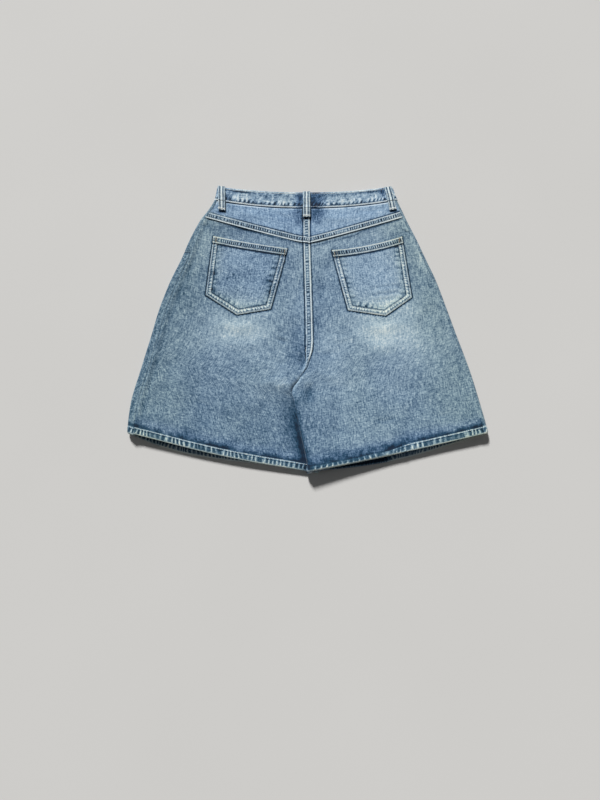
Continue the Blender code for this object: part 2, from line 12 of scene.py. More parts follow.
import bmesh
import bpy
import numpy as np
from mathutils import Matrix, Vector, kdtree
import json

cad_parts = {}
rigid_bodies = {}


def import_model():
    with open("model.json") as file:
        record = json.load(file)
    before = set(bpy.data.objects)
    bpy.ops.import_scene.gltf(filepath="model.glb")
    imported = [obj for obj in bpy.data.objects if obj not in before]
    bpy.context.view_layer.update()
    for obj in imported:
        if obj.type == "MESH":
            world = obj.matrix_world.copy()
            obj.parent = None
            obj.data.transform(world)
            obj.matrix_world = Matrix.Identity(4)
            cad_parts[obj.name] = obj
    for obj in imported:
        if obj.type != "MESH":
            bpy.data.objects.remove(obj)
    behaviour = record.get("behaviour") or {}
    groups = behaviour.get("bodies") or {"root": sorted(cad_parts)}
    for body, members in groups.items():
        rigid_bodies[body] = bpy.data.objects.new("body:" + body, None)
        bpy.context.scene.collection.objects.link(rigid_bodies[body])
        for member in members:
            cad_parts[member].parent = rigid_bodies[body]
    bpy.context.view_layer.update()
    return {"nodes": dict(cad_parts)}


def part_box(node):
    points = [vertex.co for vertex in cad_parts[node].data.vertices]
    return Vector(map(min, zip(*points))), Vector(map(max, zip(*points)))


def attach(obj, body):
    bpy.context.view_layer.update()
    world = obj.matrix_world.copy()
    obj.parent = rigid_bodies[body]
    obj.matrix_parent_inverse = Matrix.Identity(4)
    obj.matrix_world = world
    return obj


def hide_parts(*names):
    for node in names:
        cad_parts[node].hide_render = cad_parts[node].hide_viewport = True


CM = 0.01  # in metres
MM = 0.1  # in centimetres
LEFT, RIGHT = -1, 1
NAMED = {LEFT: "left", RIGHT: "right"}


def table(columns, *rows):
    """Rows with named columns."""
    row = namedtuple("Row", columns)
    return [row(*values) for values in rows]


# ---------------------------------------------------------------- the garment's form, as in the solids

CLOTH, HEM_CLOTH, BAND_CLOTH, LOOP_CLOTH = 0.12, 0.24, 0.26, 0.24
HEM_DEPTH = 1.2
SEAM_GAP = LAY_GAP = 0.03
SEAM_CLEAR = 0.15

HALF_HEM, HALF_WAIST = 31.0, 17.0
HEM_RISE = 6.8
CROTCH, CROTCH_SIDE = 14.6, 21.0
YOKE_CENTRE, YOKE_SIDE = 44.2, 49.8
BAND_CENTRE, BAND_SIDE = 50.5, 52.3
BAND_TOP_CENTRE, BAND_TOP_SIDE = 53.6, 54.9
ROW_CURVE, LOW_CURVE, HIGH_CURVE = 1.08, 2.2, 2.0
FRONT_DIP = 1.5
FRONT_HEM_BOW, BACK_HEM_BOW = {LEFT: 1.2, RIGHT: 0.9}, {LEFT: 0.4, RIGHT: 0.0}
FRONT_BOW_AT, BACK_BOW_AT = {LEFT: 0.68, RIGHT: 0.5}, 0.5

SIDES = table(
    "height left right seam_left seam_right",
    (6.8, 31, 31, 1.2, 0.7), (9, 31.1, 30.7, 1.3, 0.6), (13, 30.8, 29.9, 1.4, 0.5),
    (18, 29.7, 28.8, 1.4, 0.5), (25, 28.1, 26.8, 1.4, 0.5), (30, 27, 25.4, 1.4, 0.5),
    (35.5, 25.3, 23.8, 1.4, 0.5), (40, 23.5, 22.1, 1.3, 0.5), (44, 22.1, 20.6, 1, 0.5),
    (48, 20.3, 18.9, 0.6, 0.5), (50, 18.9, 18.1, 0.5, 0.5), (52.3, 17.7, 17.2, 0.5, 0.5),
    (54.9, 17.2, 16.4, 0.5, 0.5),
)
CENTRES = table(
    "height left right",
    (0, 1.8, -0.1), (3, 1.3, -0.7), (6, 0.3, -1.3), (9, -1.2, -1.8), (11, -2.1, -2.1), (12.5, -2.35, -2.35),
    (14.6, -2.75, -2.75), (16.5, -1.5, -1.5), (18.5, -0.4, -0.4), (22, 0.25, 0.25), (26, 0.3, 0.3),
    (35, 0.1, 0.1), (44, -0.1, -0.1), (55, -0.1, -0.1),
)
# How high the cloth lies, in millimetres, at shares of the height, and how high the right leg is lifted
LIES = table(
    "share left_edge left_mid left_inner right_inner right_mid right_edge lift",
    (0, 13.5, 10, 7, 21, 12, 13, 7.6), (0.05, 12.2, 9.6, 6.2, 18.5, 10.5, 11.5, 6.8),
    (0.12, 10, 8, 5.6, 15, 8.6, 10, 6.2), (0.2, 9, 7.2, 5.6, 12.5, 7.4, 9, 6.2),
    (0.24, 8.5, 7, 6.6, 10.5, 7.2, 8.5, 3.2), (0.27, 8.5, 7, 8.5, 8.5, 7, 8.5, 0),
    (0.34, 8.5, 7, 8.5, 8.5, 7, 8.5, 0), (0.5, 8.5, 7, 8, 8, 7, 8.5, 0), (0.68, 9, 7.5, 8, 8, 7.5, 9, 0),
    (0.82, 10, 9.5, 9.8, 9.8, 9.5, 10, 0), (0.93, 12, 12.4, 13, 13, 12.4, 12, 0),
    (1, 12.4, 12.8, 13.4, 13.4, 12.8, 12.4, 0),
)
LIFT_FADE = 3.5
PANEL_REST, PANEL_RAMP = 0.42, 7.0
INNER_FOLD, CROTCH_FOLD = 0.35, 0.80
INSEAM_UNDER, INSEAM_PAST = 0.40, 0.30
FORK_LENGTH, CROTCH_GAP = 3.0, 0.09
SEAT_LENGTH = 4.0

SCOOP_X, SCOOP_Y = 20.5, 53.0
SCOOP_WIDE, SCOOP_DEEP = 11.0, 12.0
SCOOP_UNDER = 1.5
FACING_LOW = 41.0

BAND_PROUD, BAND_STEP = 0.09, 0.30
BAND_PAST, BAND_UNDER = 0.6, 3.4
FLY_LOW, FLY_WIDE, FLY_PAST = 33.0, 3.4, 0.6
BUTTON_X, BUTTON_Y = -1.2, 50.6
BUTTONHOLE, SHANK = 1.4, 0.30
LOOP_WIDE, LOOP_LONG = 1.4, 5.6
LOOP_FLOOR = 0.06  # the least height of a front loop, so that its edges clear the surface
LOOP_WALL, LOOP_OUT = 0.8 * LOOP_CLOTH, 0.85 * LOOP_CLOTH  # a loop's own wall, and how far out its face lies

# ---------------------------------------------------------------- sewing

LAP = 1.2  # a felled seam's breadth
LAP_RAISE = 0.135  # the upper layer's height above the lower one
BAND_LAP = 0.15  # the waistband's lower edge covers the yoke's by this much
POCKET_HEM = 1.35
SIDE_PRESSED = 0.025  # how much closer the pieces are pressed at a side seam
HEM_ROLL = 0.45  # how much of the right back hem has rolled under beside the crotch
ROLL_STOP, ROLL_END = 13.5, 18.0
NEAR_ROW, FAR_ROW = 0.16, 0.84  # where a felled seam's two rows of stitches run, as shares of its breadth
HEM_ROW, BAND_LOW_ROW, BAND_HIGH_ROW = HEM_DEPTH - 0.09, 0.20, 0.32
LOOP_SIDE_ROW, LOOP_END_ROW = 0.24, 0.26
OPENING_ROWS, FLY_ROWS, CENTRE_ROWS, POCKET_ROWS = (0.16, 0.74), (3.0, 3.6), (0.25, 0.85), (0.2, 0.82)
SHARP = math.radians(55)  # sharper edges than this aren't smoothed

# ---------------------------------------------------------------- small sums


def ease(t):
    t = np.clip(t, 0.0, 1.0)
    return t * t * (3 - 2 * t)


def past(value, start, over):
    """0 before the start, and 1 once it is past by this much."""
    return ease((value - start) / over)


def until(value, stop, over):
    """1 before the stop, and 0 once it is past by this much."""
    return 1 - past(value, stop, over)


def mix(a, b, t):
    return a + (b - a) * t


def bump(distance, width):
    """A soft ridge's profile: 1 on the line, and falling away over this width."""
    return np.exp(-((distance / width) ** 2))


def ridges(distance, *rows):
    """Soft ridges beside an edge as one: each row is how far in, how broad, and how much."""
    return sum(amount * bump(distance - at, width) for at, width, amount in rows)


def read(rows, column, at):
    """The column's values at these places, on a smooth curve through the rows."""
    places = np.array([row[0] for row in rows], float)
    values = np.array([getattr(row, column) for row in rows], float)
    slopes = np.empty_like(values)
    slopes[1:-1] = (values[2:] - values[:-2]) / (places[2:] - places[:-2])
    slopes[[0, -1]] = (np.diff(values) / np.diff(places))[[0, -1]]
    at = np.clip(at, places[0], places[-1])
    i = np.clip(np.searchsorted(places, at, side="right") - 1, 0, len(places) - 2)
    step = places[i + 1] - places[i]
    t = (at - places[i]) / step
    down, up = (1 - t) ** 2, t * t
    start, stop = (1 + 2 * t) * values[i] + t * step * slopes[i], (3 - 2 * t) * values[i + 1]
    return down * start + up * (stop - (1 - t) * step * slopes[i + 1])


WANDER_CELLS = 64


def wander(x, y, size, seed):
    """Smooth unevenness from -1 to 1, in patches of about this size."""
    cells = np.random.default_rng(seed).uniform(-1, 1, (WANDER_CELLS, WANDER_CELLS))
    x, y = np.asarray(x) / size + 1000.0, np.asarray(y) / size + 1000.0
    i, j = np.floor(x).astype(int), np.floor(y).astype(int)
    u, v = ease(x - i), ease(y - j)
    i0, i1, j0, j1 = (k % WANDER_CELLS for k in (i, i + 1, j, j + 1))
    return mix(mix(cells[i0, j0], cells[i1, j0], u), mix(cells[i0, j1], cells[i1, j1], u), v)


def run(points, axis=0):
    """How far along its line each point is."""
    lengths = np.cumsum(np.linalg.norm(np.diff(points, axis=axis), axis=-1), axis=axis)
    return np.insert(lengths, 0, 0, axis=axis)


def sample(places, at, field):
    """A field's values at these places along a line."""
    return np.stack([np.interp(places, at, column) for column in field.T], -1)


def steps(*stretches):
    """Places from one end to the other: each stretch is where it stops and how many steps it has."""
    places, at = [np.zeros(1)], 0.0
    for stop, count in stretches:
        places.append(np.linspace(at, stop, count + 1)[1:])
        at = stop
    return np.concatenate(places)


# ---------------------------------------------------------------- lines and heights of the garment


def edge_x(side, y):
    return side * read(SIDES, NAMED[side], y)


def inner_x(side, y):
    return read(CENTRES, NAMED[side], y) + side * SEAM_GAP / 2


def waist(x, centre, side, power, front):
    out = np.minimum(abs(x) / HALF_WAIST, 1)
    return mix(centre, side, out**power) - (FRONT_DIP * (1 - out**2) ** 2 if front else 0)


def band_low(x, front=False):
    return waist(x, BAND_CENTRE, BAND_SIDE, LOW_CURVE, front)


def band_high(x, front=False):
    return waist(x, BAND_TOP_CENTRE, BAND_TOP_SIDE, HIGH_CURVE, front)


def share_up(x, y):
    """0 at the hem and 1 at the waistband's upper edge."""
    low = HEM_RISE * np.minimum(abs(x) / HALF_HEM, 1)
    return (y - low) / (band_high(x) - low)


def back_height(side, x, y):
    """Height of the back's outer face: a curve through its inner edge, middle and outer edge."""
    share, inner = share_up(x, y), inner_x(side, y)
    out = np.clip((x - inner) / (edge_x(side, y) - inner), 0, 1)
    at = {place: MM * read(LIES, f"{NAMED[side]}_{place}", share) for place in ("edge", "mid", "inner")}
    inner_half = at["inner"] * (1 - out) * (1 - 2 * out) + at["mid"] * 4 * out * (1 - out)
    return inner_half + at["edge"] * out * (2 * out - 1)


def front_height(side, x, y):
    """Height of the front's outer face, which faces down."""
    rest = PANEL_REST * ease(1 - (band_low(x, True) - y) / PANEL_RAMP)
    if side == LEFT:
        return rest
    lift = MM * np.maximum(read(LIES, "lift", share_up(x, y)), 0)
    return rest + np.where(y > CROTCH, 0, lift * until(x - inner_x(LEFT, y), INNER_FOLD, LIFT_FADE))


def bowed(out, peak):
    """A bow's share of its depth: nothing at both ends and all of it at the peak."""
    rise, fall = 4 * peak, 4 * (1 - peak)
    return out**rise * (1 - out) ** fall / (peak**rise * (1 - peak) ** fall)


class Rows:
    """Lines across half of the garment, from the middle to the side, one above the other."""

    def __init__(self, side, *parts, bow_at=BACK_BOW_AT):
        self.side, self.bow_at = side, bow_at
        columns = [np.concatenate([part[k] for part in parts])[:, None] for k in range(5)]
        self.y_in, self.y_out, self.bow, self.power, self.dip = columns
        self.x_in, self.x_out = inner_x(side, self.y_in - self.dip), edge_x(side, self.y_out)
        self.width = abs(self.x_out - self.x_in)

    def at(self, inwards):
        """x and y at these distances from the middle."""
        out = np.clip(inwards / self.width, 0, 1)
        y = mix(self.y_in, self.y_out, out**self.power)
        y = y - self.dip * (1 - out**2) ** 2 - self.bow * bowed(out, self.bow_at)
        return self.x_in + self.side * inwards, y

    def on_back(self, inwards, inset=0.0):
        x, y = self.at(inwards)
        return np.stack([x, y, back_height(self.side, x, y) - inset], -1)

    def on_front(self, inwards, inset=0.0):
        x, y = self.at(inwards)
        return np.stack([x, y, front_height(self.side, x, y) + inset], -1)

    def fold(self, outer):
        """Reach, and length from the fold's middle to its end, at the outer or inner edge."""
        inwards = self.width if outer else 0 * self.width
        half = (self.on_back(inwards)[..., 2] - self.on_front(inwards)[..., 2]) / 2
        reach = half if outer else mix(CROTCH_FOLD, INNER_FOLD, self.below_crotch())
        return reach, math.pi / 2 * np.hypot(reach, half) / math.sqrt(2)

    def on_fold(self, outer, length, inset=0.0):
        """Points this far round a fold: positive lengths run to the top, negative ones under the cloth."""
        reach, quarter = self.fold(outer)
        turn = np.clip(length / quarter, -1, 1) * math.pi / 2
        inwards = inset + (reach - inset) * (1 - np.cos(turn)) + np.maximum(abs(length) - quarter, 0)
        if outer:
            inwards = self.width - inwards
        low, high = self.on_front(inwards, inset), self.on_back(inwards, inset)
        wall = np.where((length > 0)[..., None], high, low)
        point = mix((low + high) / 2, wall, abs(np.sin(turn))[..., None])
        return point if outer else mix(point, wall, past(self.y_in, CROTCH, SEAT_LENGTH)[..., None])

    def below_crotch(self):
        return ease((CROTCH - self.y_in) / FORK_LENGTH)

    def inseam(self):
        return -(self.fold(False)[1] + INSEAM_UNDER) * self.below_crotch()

    def inseam_gap(self):
        return SEAM_GAP / 2 + CROTCH_GAP * ease(1 - abs(self.y_in - CROTCH) / FORK_LENGTH)

    def side_seam(self):
        inwards = read(SIDES, "seam_" + NAMED[self.side], self.y_out)
        return np.maximum(inwards, self.fold(True)[0] + SEAM_CLEAR)


def leg(side, front, t):
    bow = FRONT_HEM_BOW[side] if front else BACK_HEM_BOW[side]
    return CROTCH * t, mix(HEM_RISE, CROTCH_SIDE, t), bow * (1 - t), ROW_CURVE + 0 * t, 0 * t


def body(front, t):
    dip = FRONT_DIP * 0.8 * t * t if front else 0 * t
    return mix(CROTCH, YOKE_CENTRE, t), mix(CROTCH_SIDE, YOKE_SIDE, t), 0 * t, ROW_CURVE + 0 * t, dip


def yoke(front, t):
    """Rows from the yoke's seam up. The ones below it, where t is under 0, are its lap."""
    up, lap = np.maximum(t, 0), np.minimum(t, 0) * LAP
    dip = FRONT_DIP * mix(0.8, 1, up) if front else 0 * t
    y_in, y_out = mix(YOKE_CENTRE, BAND_CENTRE, up) + lap, mix(YOKE_SIDE, BAND_SIDE, up) + lap
    return y_in, y_out, 0 * t, mix(ROW_CURVE, LOW_CURVE, up), dip


def band(front, t):
    y_in, y_out = mix(BAND_CENTRE, BAND_TOP_CENTRE, t), mix(BAND_SIDE, BAND_TOP_SIDE, t)
    return y_in, y_out, 0 * t, mix(LOW_CURVE, HIGH_CURVE, t), (FRONT_DIP if front else 0) + 0 * t


# ---------------------------------------------------------------- creases, patches and uneven stitching

# A crease runs through its points. Its width and depth are in millimetres, and a ridge's depth is above 0.
# Pale says how much its dye has worn off, or with a minus how much darker painted shade makes its trough.
BACK_CREASES = table(
    "points width depth pale",
    # where the right leg lies over the left one, with painted shadow and shade beside its edge
    ([(-2.45, 14), (-2.1, 10.5), (-1.75, 8), (-1.3, 5.5), (-0.8, 3.2), (-0.3, 0.8), (0.3, -4)],
     7.5, -1.8, -0.42),
    ([(-3.3, 13.2), (-3.2, 9.5), (-2.6, 6), (-1.9, 3), (-1.2, -1.5)], 12, -1.5, -0.13),
    # beside the centre seam and the crotch, with painted shadow beside the seam's lap
    ([(-5.6, 24.2), (-4.8, 23.8), (-3.8, 23.3)], 2.6, -1, -0.16),
    ([(-5.2, 24.8), (-4, 24.4), (-3, 23.8)], 3, 0.5, 0.04),
    ([(-1.5, 21.6), (-1, 20.4), (-0.8, 18.2)], 5.5, -1.4, -0.13),
    ([(-2.6, 22.2), (-1.6, 21.3), (-1.3, 19.8)], 3.6, 0.6, 0.05),
    ([(0.9, 24.5), (0.7, 21.5), (0, 20), (-0.6, 18.5), (-1, 17), (-2, 16.2)], 1.7, 0.5, 0.3),
    ([(1.1, 23.4), (0.95, 21.6), (0.35, 20), (-0.2, 18.8)], 1.3, -0.5, -0.36),
    ([(-0.5, 18.4), (-0.75, 17.6), (-1.25, 16.7)], 1.4, -0.7, -0.42),
    ([(0.4, 15.8), (0.3, 14.2), (0.4, 12.4)], 6.5, -1.5, -0.13),
    ([(0.9, 18.5), (3, 17.2), (5.5, 16.6)], 7, 0.6, 0.03),
    ([(-3.4, 16.9), (-5.4, 16.2), (-8.2, 15.8)], 7, 0.8, 0.06),
    ([(-2.6, 15.7), (-4.4, 15.5), (-6.4, 15.1)], 4, 0.7, 0.08),
    ([(1.2, 21.5), (3.4, 21.1), (6, 21.6)], 7, -0.5, -0.03),
    ([(-0.9, 36.8), (-1.6, 34.5), (-1.2, 31.6)], 4, -0.5, -0.05),
    ([(1.6, 37), (2.6, 34.5), (2.2, 31)], 6, -0.6, -0.05),
    # under the pockets
    ([(-16.5, 27.6), (-13, 26.2), (-9, 26.8)], 9, 0.8, 0.03),
    ([(-15, 23.6), (-11, 22.6), (-7.5, 23.6)], 10, 0.6, 0.02),
    ([(9, 26.8), (13.5, 26), (18, 27.4)], 9, 0.8, 0.03),
    ([(9.6, 23.2), (14, 22.4), (17.6, 23.6)], 10, 0.6, 0.02),
    ([(-20.5, 30), (-18.4, 25), (-18.8, 20)], 12, -0.7, -0.03),
    ([(22.5, 31), (20.6, 26), (21.4, 20.5)], 12, -0.7, -0.03),
    # soft folds down the legs
    ([(-24, 19.5), (-23, 14), (-24.4, 8.6)], 13, 0.8, 0.01),
    ([(-18.8, 18), (-19.2, 12.6), (-18.2, 7.8)], 12, -0.8, -0.02),
    ([(-12.6, 18.8), (-13.4, 12), (-12, 5)], 14, 0.7, 0.01),
    ([(-7.6, 14.5), (-8.4, 9), (-7.2, 4)], 11, -0.8, -0.02),
    ([(4.6, 14.6), (5.6, 9), (4.6, 4)], 12, -0.8, -0.02),
    ([(10.4, 18.8), (11.2, 12), (10.2, 5.4)], 14, 0.8, 0.01),
    ([(17, 19), (18.2, 12.4), (17.2, 6.8)], 12, -0.7, -0.02),
    ([(23.6, 21), (24, 14.5), (25.4, 9.2)], 14, 0.8, 0.01),
    ([(-19.8, 12.6), (-18.2, 12.1), (-16.4, 11.3)], 3, -0.4, -0.07),
    ([(-18.6, 18.9), (-18, 17.6), (-18.4, 16.2)], 3, -0.4, -0.08),
    ([(3.4, 24.6), (5.8, 24), (8.4, 24.6)], 6, 0.4, 0.04),
    ([(-6.8, 20.6), (-4.8, 19.4), (-3, 19.6)], 6, -0.5, -0.03),
    ([(11.2, 9.2), (13.2, 8.9), (15.6, 9.5)], 3, -0.5, -0.1),
    ([(3.6, 7.8), (4.8, 7.2), (6.2, 7.6)], 4, -0.4, -0.05),
    ([(21, 10.2), (23, 9.8), (25.4, 10.4)], 4, -0.3, -0.05),
    # beside the hips
    ([(17.9, 45.9), (18.8, 45.3), (20.3, 45.2)], 1.7, -1, -0.2),
    ([(18, 46.3), (19, 45.7), (20, 45.6)], 2.4, 0.4, 0.04),
    ([(-20.4, 47), (-19.4, 46.6), (-18, 46.9)], 4, -0.7, -0.08),
    ([(-21.6, 42.4), (-20.4, 39), (-20.2, 35)], 8, -0.7, -0.04),
    ([(20.6, 42), (21, 37), (20.8, 33)], 8, -0.5, -0.02),
    ([(-17.2, 46.9), (-14, 45.9), (-10.4, 45.4)], 5.5, -0.7, -0.12),
    ([(3, 43.3), (8, 43.9), (12, 44.7)], 6, -0.4, -0.02),
    # on the yokes
    ([(-14.5, 50.6), (-11, 49), (-6.5, 48.2)], 8, 0.5, 0.03),
    ([(-7, 49.4), (-4, 48.3), (-1.4, 48.2)], 6, -0.5, -0.03),
    ([(2, 48.6), (5.5, 48), (9.5, 48.6)], 7, 0.5, 0.03),
    ([(8.4, 49.6), (12, 49.7), (15.4, 50.6)], 5, -0.4, -0.03),
)
# Creases of the front, which lies on the surface: they are all troughs
FRONT_CREASES = table(
    "points width depth pale",
    ([(-4, 40), (-9, 38.6), (-14.5, 39.4)], 4, -0.9, 0.05),
    ([(-3.6, 37.2), (-8, 35.4), (-13, 35.2)], 4.5, -1, 0.06),
    ([(-3.2, 34.2), (-7, 32), (-11.5, 31)], 4, -0.8, 0.05),
    ([(-3.4, 30), (-7.4, 27), (-11, 25.4)], 5, -0.7, 0.04),
    ([(4, 39.4), (8.6, 38.4), (14, 38.8)], 4, -0.8, 0.05),
    ([(3.6, 36.6), (8.4, 34.6), (13.6, 34.8)], 4.5, -1, 0.06),
    ([(3, 33.4), (7.4, 31.4), (12, 30)], 4, -0.9, 0.05),
    ([(3.2, 29.2), (6.8, 26.4), (10.4, 24.6)], 5, -0.7, 0.04),
    ([(-4, 19.5), (-8, 18), (-12, 18.4)], 6, -0.8, 0.03),
    ([(2.8, 19), (7, 17.2), (11.4, 17.8)], 6, -0.8, 0.03),
    ([(-20, 30), (-20.8, 22), (-19.6, 14)], 12, -1, 0.02),
    ([(-12, 14), (-13, 9), (-12.2, 4.6)], 11, -0.9, 0.02), ([(19, 29), (19.8, 21), (18.8, 13)], 12, -1, 0.02),
    ([(12.6, 13.6), (11.8, 9), (12.8, 4.8)], 11, -0.9, 0.02),
)
# Where the dye is worn or deep, and where shade and shadow are painted: a patch's middle, half breadths and
# strength
BACK_PATCHES = table(
    "x y wide tall strength",
    # worn where the seat sits
    (-13, 26.6, 4.4, 2.2, 0.1), (-10.2, 25.2, 3.4, 2.4, 0.09), (-12.4, 24.6, 7.4, 3.8, 0.135),
    (-17, 24.2, 3.4, 2.4, 0.04), (14.8, 26.2, 4.6, 2.6, 0.11), (11.4, 25, 3.6, 2.6, 0.08),
    (15.4, 24.4, 6.8, 4, 0.14), (20, 24, 3.6, 2.6, 0.05), (13.6, 31.4, 4.4, 1.6, 0.1),
    (8.6, 31.2, 2, 1.6, -0.06), (-4.4, 20, 3.2, 3.6, 0.05), (4.4, 22.8, 3.4, 3.2, 0.05),
    (-3.6, 15.8, 2.2, 0.9, 0.08), (-0.6, 15.8, 1.6, 0.8, 0.08), (-8.6, 28.9, 2.4, 0.7, 0.14),
    (10.4, 28.5, 2.6, 0.7, 0.14), (18.8, 29.6, 1.4, 1, 0.12), (3.4, 24.4, 1.8, 2.6, 0.08),
    (5.2, 19.6, 1.8, 2.4, 0.08), (-8.6, 13.8, 3.2, 1.8, 0.08), (-3.6, 2.6, 1.6, 1.2, 0.16),
    (-9.5, 16.8, 4.5, 4, 0.045), (8, 16.4, 5.5, 3.2, 0.045), (16.2, 15.6, 2.4, 2.2, 0.04),
    (-5.6, 28.6, 2.8, 3.2, 0.045), (5.6, 29, 2.6, 4, 0.05), (18, 30, 2.6, 2.6, 0.05), (-1.4, 36, 1, 8, 0.04),
    (9.4, 3.3, 1.8, 0.7, 0.14),
    # lighter at the hips, and worn along the seams
    (-19.3, 41, 1.3, 3.2, 0.14), (21.2, 40.2, 1, 3.2, 0.27), (19.6, 41.4, 1, 2, 0.05),
    (-22.4, 40.8, 1.2, 3, 0.06), (19.4, 43.6, 1.2, 1.2, 0.08), (-20.8, 38.4, 0.8, 2.2, 0.12),
    (-18.6, 44.5, 1, 1, 0.1), (-0.5, 30.6, 0.6, 1.6, 0.1), (-1, 16.9, 0.8, 0.5, 0.12),
    (-16.5, 28.2, 1.6, 1, 0.08), (7.8, 29.4, 1.2, 1, 0.08), (-0.5, 26.5, 0.8, 1.8, 0.12),
    (-0.5, 39.3, 0.6, 1.2, 0.12), (-0.6, 45.6, 0.6, 0.9, 0.1), (16.6, 48, 1.8, 0.8, 0.15),
    (-15.7, 47.2, 1.4, 0.8, 0.13),
    # on the pockets: dark blotches, and painted shade at the right one's inner top corner
    (-12.6, 31.3, 1.3, 0.7, 0.16), (-12.6, 35.6, 3.6, 2, -0.07), (-14.6, 36.2, 1.6, 0.9, -0.05),
    (-7.2, 35.4, 0.9, 0.5, -0.28), (-7.2, 33.2, 0.8, 0.5, -0.26), (-17.3, 37, 0.5, 0.5, -0.36),
    (-17.2, 33.6, 0.6, 0.5, -0.38), (-6.2, 38.6, 0.5, 0.8, -0.1), (-17.9, 35.5, 0.8, 1.6, -0.1),
    (5.3, 41.4, 1.1, 1.5, -0.12), (7.5, 41, 2.4, 1.8, -0.1), (-7, 41.6, 2.4, 1.8, -0.09),
    (17, 42.8, 1, 1.2, -0.08),
    # painted shade beside the crotch, the seams and the sides, and painted shadow under the belt loops' ends
    # and the waistband's edge
    (-14.5, 45.2, 3.4, 0.8, -0.1), (-6, 44.6, 2.5, 0.9, -0.06), (16.5, 44.5, 1, 1.2, -0.1),
    (-0.6, 13.6, 1.3, 2.2, -0.14), (-0.6, 21.4, 0.8, 1.4, -0.08), (3.2, 7.2, 1.6, 2.4, -0.1),
    (17.4, 6, 1.6, 1.6, -0.07), (25, 12.6, 3.4, 2.4, -0.05), (-25.3, 29.5, 1.2, 3, -0.09),
    (-30.2, 9.5, 0.8, 1.8, -0.12), (30, 8, 0.9, 1.4, -0.18), (28.8, 10.2, 1, 1, -0.09),
    (-20.5, 15.5, 3, 4, -0.03), (-12.4, 50.7, 5, 0.5, -0.12), (-3.4, 8.4, 1.5, 4.6, -0.08),
    (0.9, 8, 1.6, 5.4, -0.05), (0.6, 13.8, 1.3, 1.8, -0.06), (-2.1, 21.6, 1.4, 3.4, -0.12),
    (7.2, 35.4, 0.5, 1.6, -0.16), (-16.2, 49.65, 0.75, 0.24, -0.7), (16.35, 49.7, 0.75, 0.24, -0.7),
    (-0.1, 48.05, 0.6, 0.22, -0.6), (0.4, 3.6, 2, 2.6, -0.04), (-22, 34, 2, 8, -0.04),
    (-26.8, 24.2, 0.9, 3.2, -0.08), (-27.6, 18.6, 0.9, 2.2, -0.08), (-18, 46.4, 2.4, 0.9, -0.1),
    (1.9, 33, 1.4, 8, -0.06), (1.8, 27, 0.8, 3, -0.07), (3.4, 38.6, 0.8, 1.6, -0.05),
    # unfaded above the hems
    (-8, 7.6, 5, 2, -0.045), (-17.5, 9.6, 5, 2, -0.035), (12.4, 7.4, 6, 1.8, -0.035),
    (-29.2, 8.9, 1.6, 0.7, -0.12), (-20.9, 6.7, 1.9, 1, -0.13), (-25.2, 7.6, 1.6, 0.8, -0.06),
    (-12, 5.1, 3.2, 0.8, -0.09), (-6, 3.4, 3, 0.9, -0.08), (5.4, 3.1, 4.6, 1.1, -0.12),
    (12, 4.6, 3, 1.2, -0.04), (18, 5.8, 3, 0.9, -0.06), (22.4, 7.2, 2.6, 0.8, -0.05),
)
# Each piece's own depth of dye, from 0, deep, to 1, worn
DYE = {
    "back_panel_left": 0.495, "back_panel_right": 0.535, "back_yoke_left": 0.61, "back_yoke_right": 0.68,
    "back_pocket_left": 0.57, "back_pocket_right": 0.65, "waistband": 0.60, "fly_shield": 0.42,
    "front_panel_left": 0.46, "front_panel_right": 0.50, "front_facing_left": 0.46,
    "front_facing_right": 0.50, "belt_loop": 0.66,
}


def along_line(x, y, points):
    """How far these places are from a line through the points, and at what share of its length."""
    points = np.array(points)
    at = run(points)
    nearest, share = np.full(x.shape, np.inf), np.zeros(x.shape)
    for start, reach, before, length in zip(points, np.diff(points, axis=0), at, np.diff(at)):
        t = np.clip(((x - start[0]) * reach[0] + (y - start[1]) * reach[1]) / length**2, 0, 1)
        distance = np.hypot(x - start[0] - t * reach[0], y - start[1] - t * reach[1])
        share = np.where(distance < nearest, (before + t * length) / at[-1], share)
        nearest = np.minimum(distance, nearest)
    return nearest, share


def crease_all(x, y, creases):
    """Height, worn dye on ridges and painted shade in troughs, of all the creases at these places."""
    height, pale = np.zeros(x.shape), np.zeros(x.shape)
    for crease in creases:
        distance, share = along_line(x, y, crease.points)
        here = bump(distance, crease.width * MM) * np.sin(np.pi * np.clip(share, 0, 1)) ** 0.8
        height += crease.depth * MM * here
        pale += crease.pale * here
    return height, pale


def patch_all(x, y):
    return sum(p.strength * bump(x - p.x, p.wide) * bump(y - p.y, p.tall) for p in BACK_PATCHES)


# Puckers along a sewn edge: how much each one changes the dye, where each place lies among them, counted
# in puckers, and how narrow they are
Puckers = namedtuple("Puckers", "change place fine")
Sewn = namedtuple("Sewn", "height pale puckers")
Face = namedtuple("Face", "points normals inner outer low high")


def puckers(along, across, pitch, slant, seed, fine=1.3):
    """Uneven puckers of strength 1 or less."""
    place = (along + slant * across) / pitch + 0.55 * wander(along, 0 * along, 2.3 * pitch, seed)
    strength = 0.72 + 0.5 * wander(along, across, 2.6 * pitch, seed + 1)
    strength = strength + 0.25 * wander(along, 0 * along, 0.8 * pitch, seed + 2)
    return Puckers(np.clip(strength, 0.08, 1), place, fine + 0 * place)


def rungs(*given):
    """The height of such puckers, from 0 between them to 1 on them."""
    made = puckers(*given)
    return made.change * (0.5 + 0.5 * np.cos(2 * np.pi * made.place)) ** made.fine


def scaled(pucker, share):
    return pucker._replace(change=share * pucker.change)


def strongest(*sewn):
    """The puckers of several sewn edges as one: each place shows the strongest there."""
    which = abs(np.stack([part.change for part in sewn])).argmax(axis=0)[None]
    return Puckers(*(np.take_along_axis(np.stack(field), which, 0)[0] for field in zip(*sewn)))


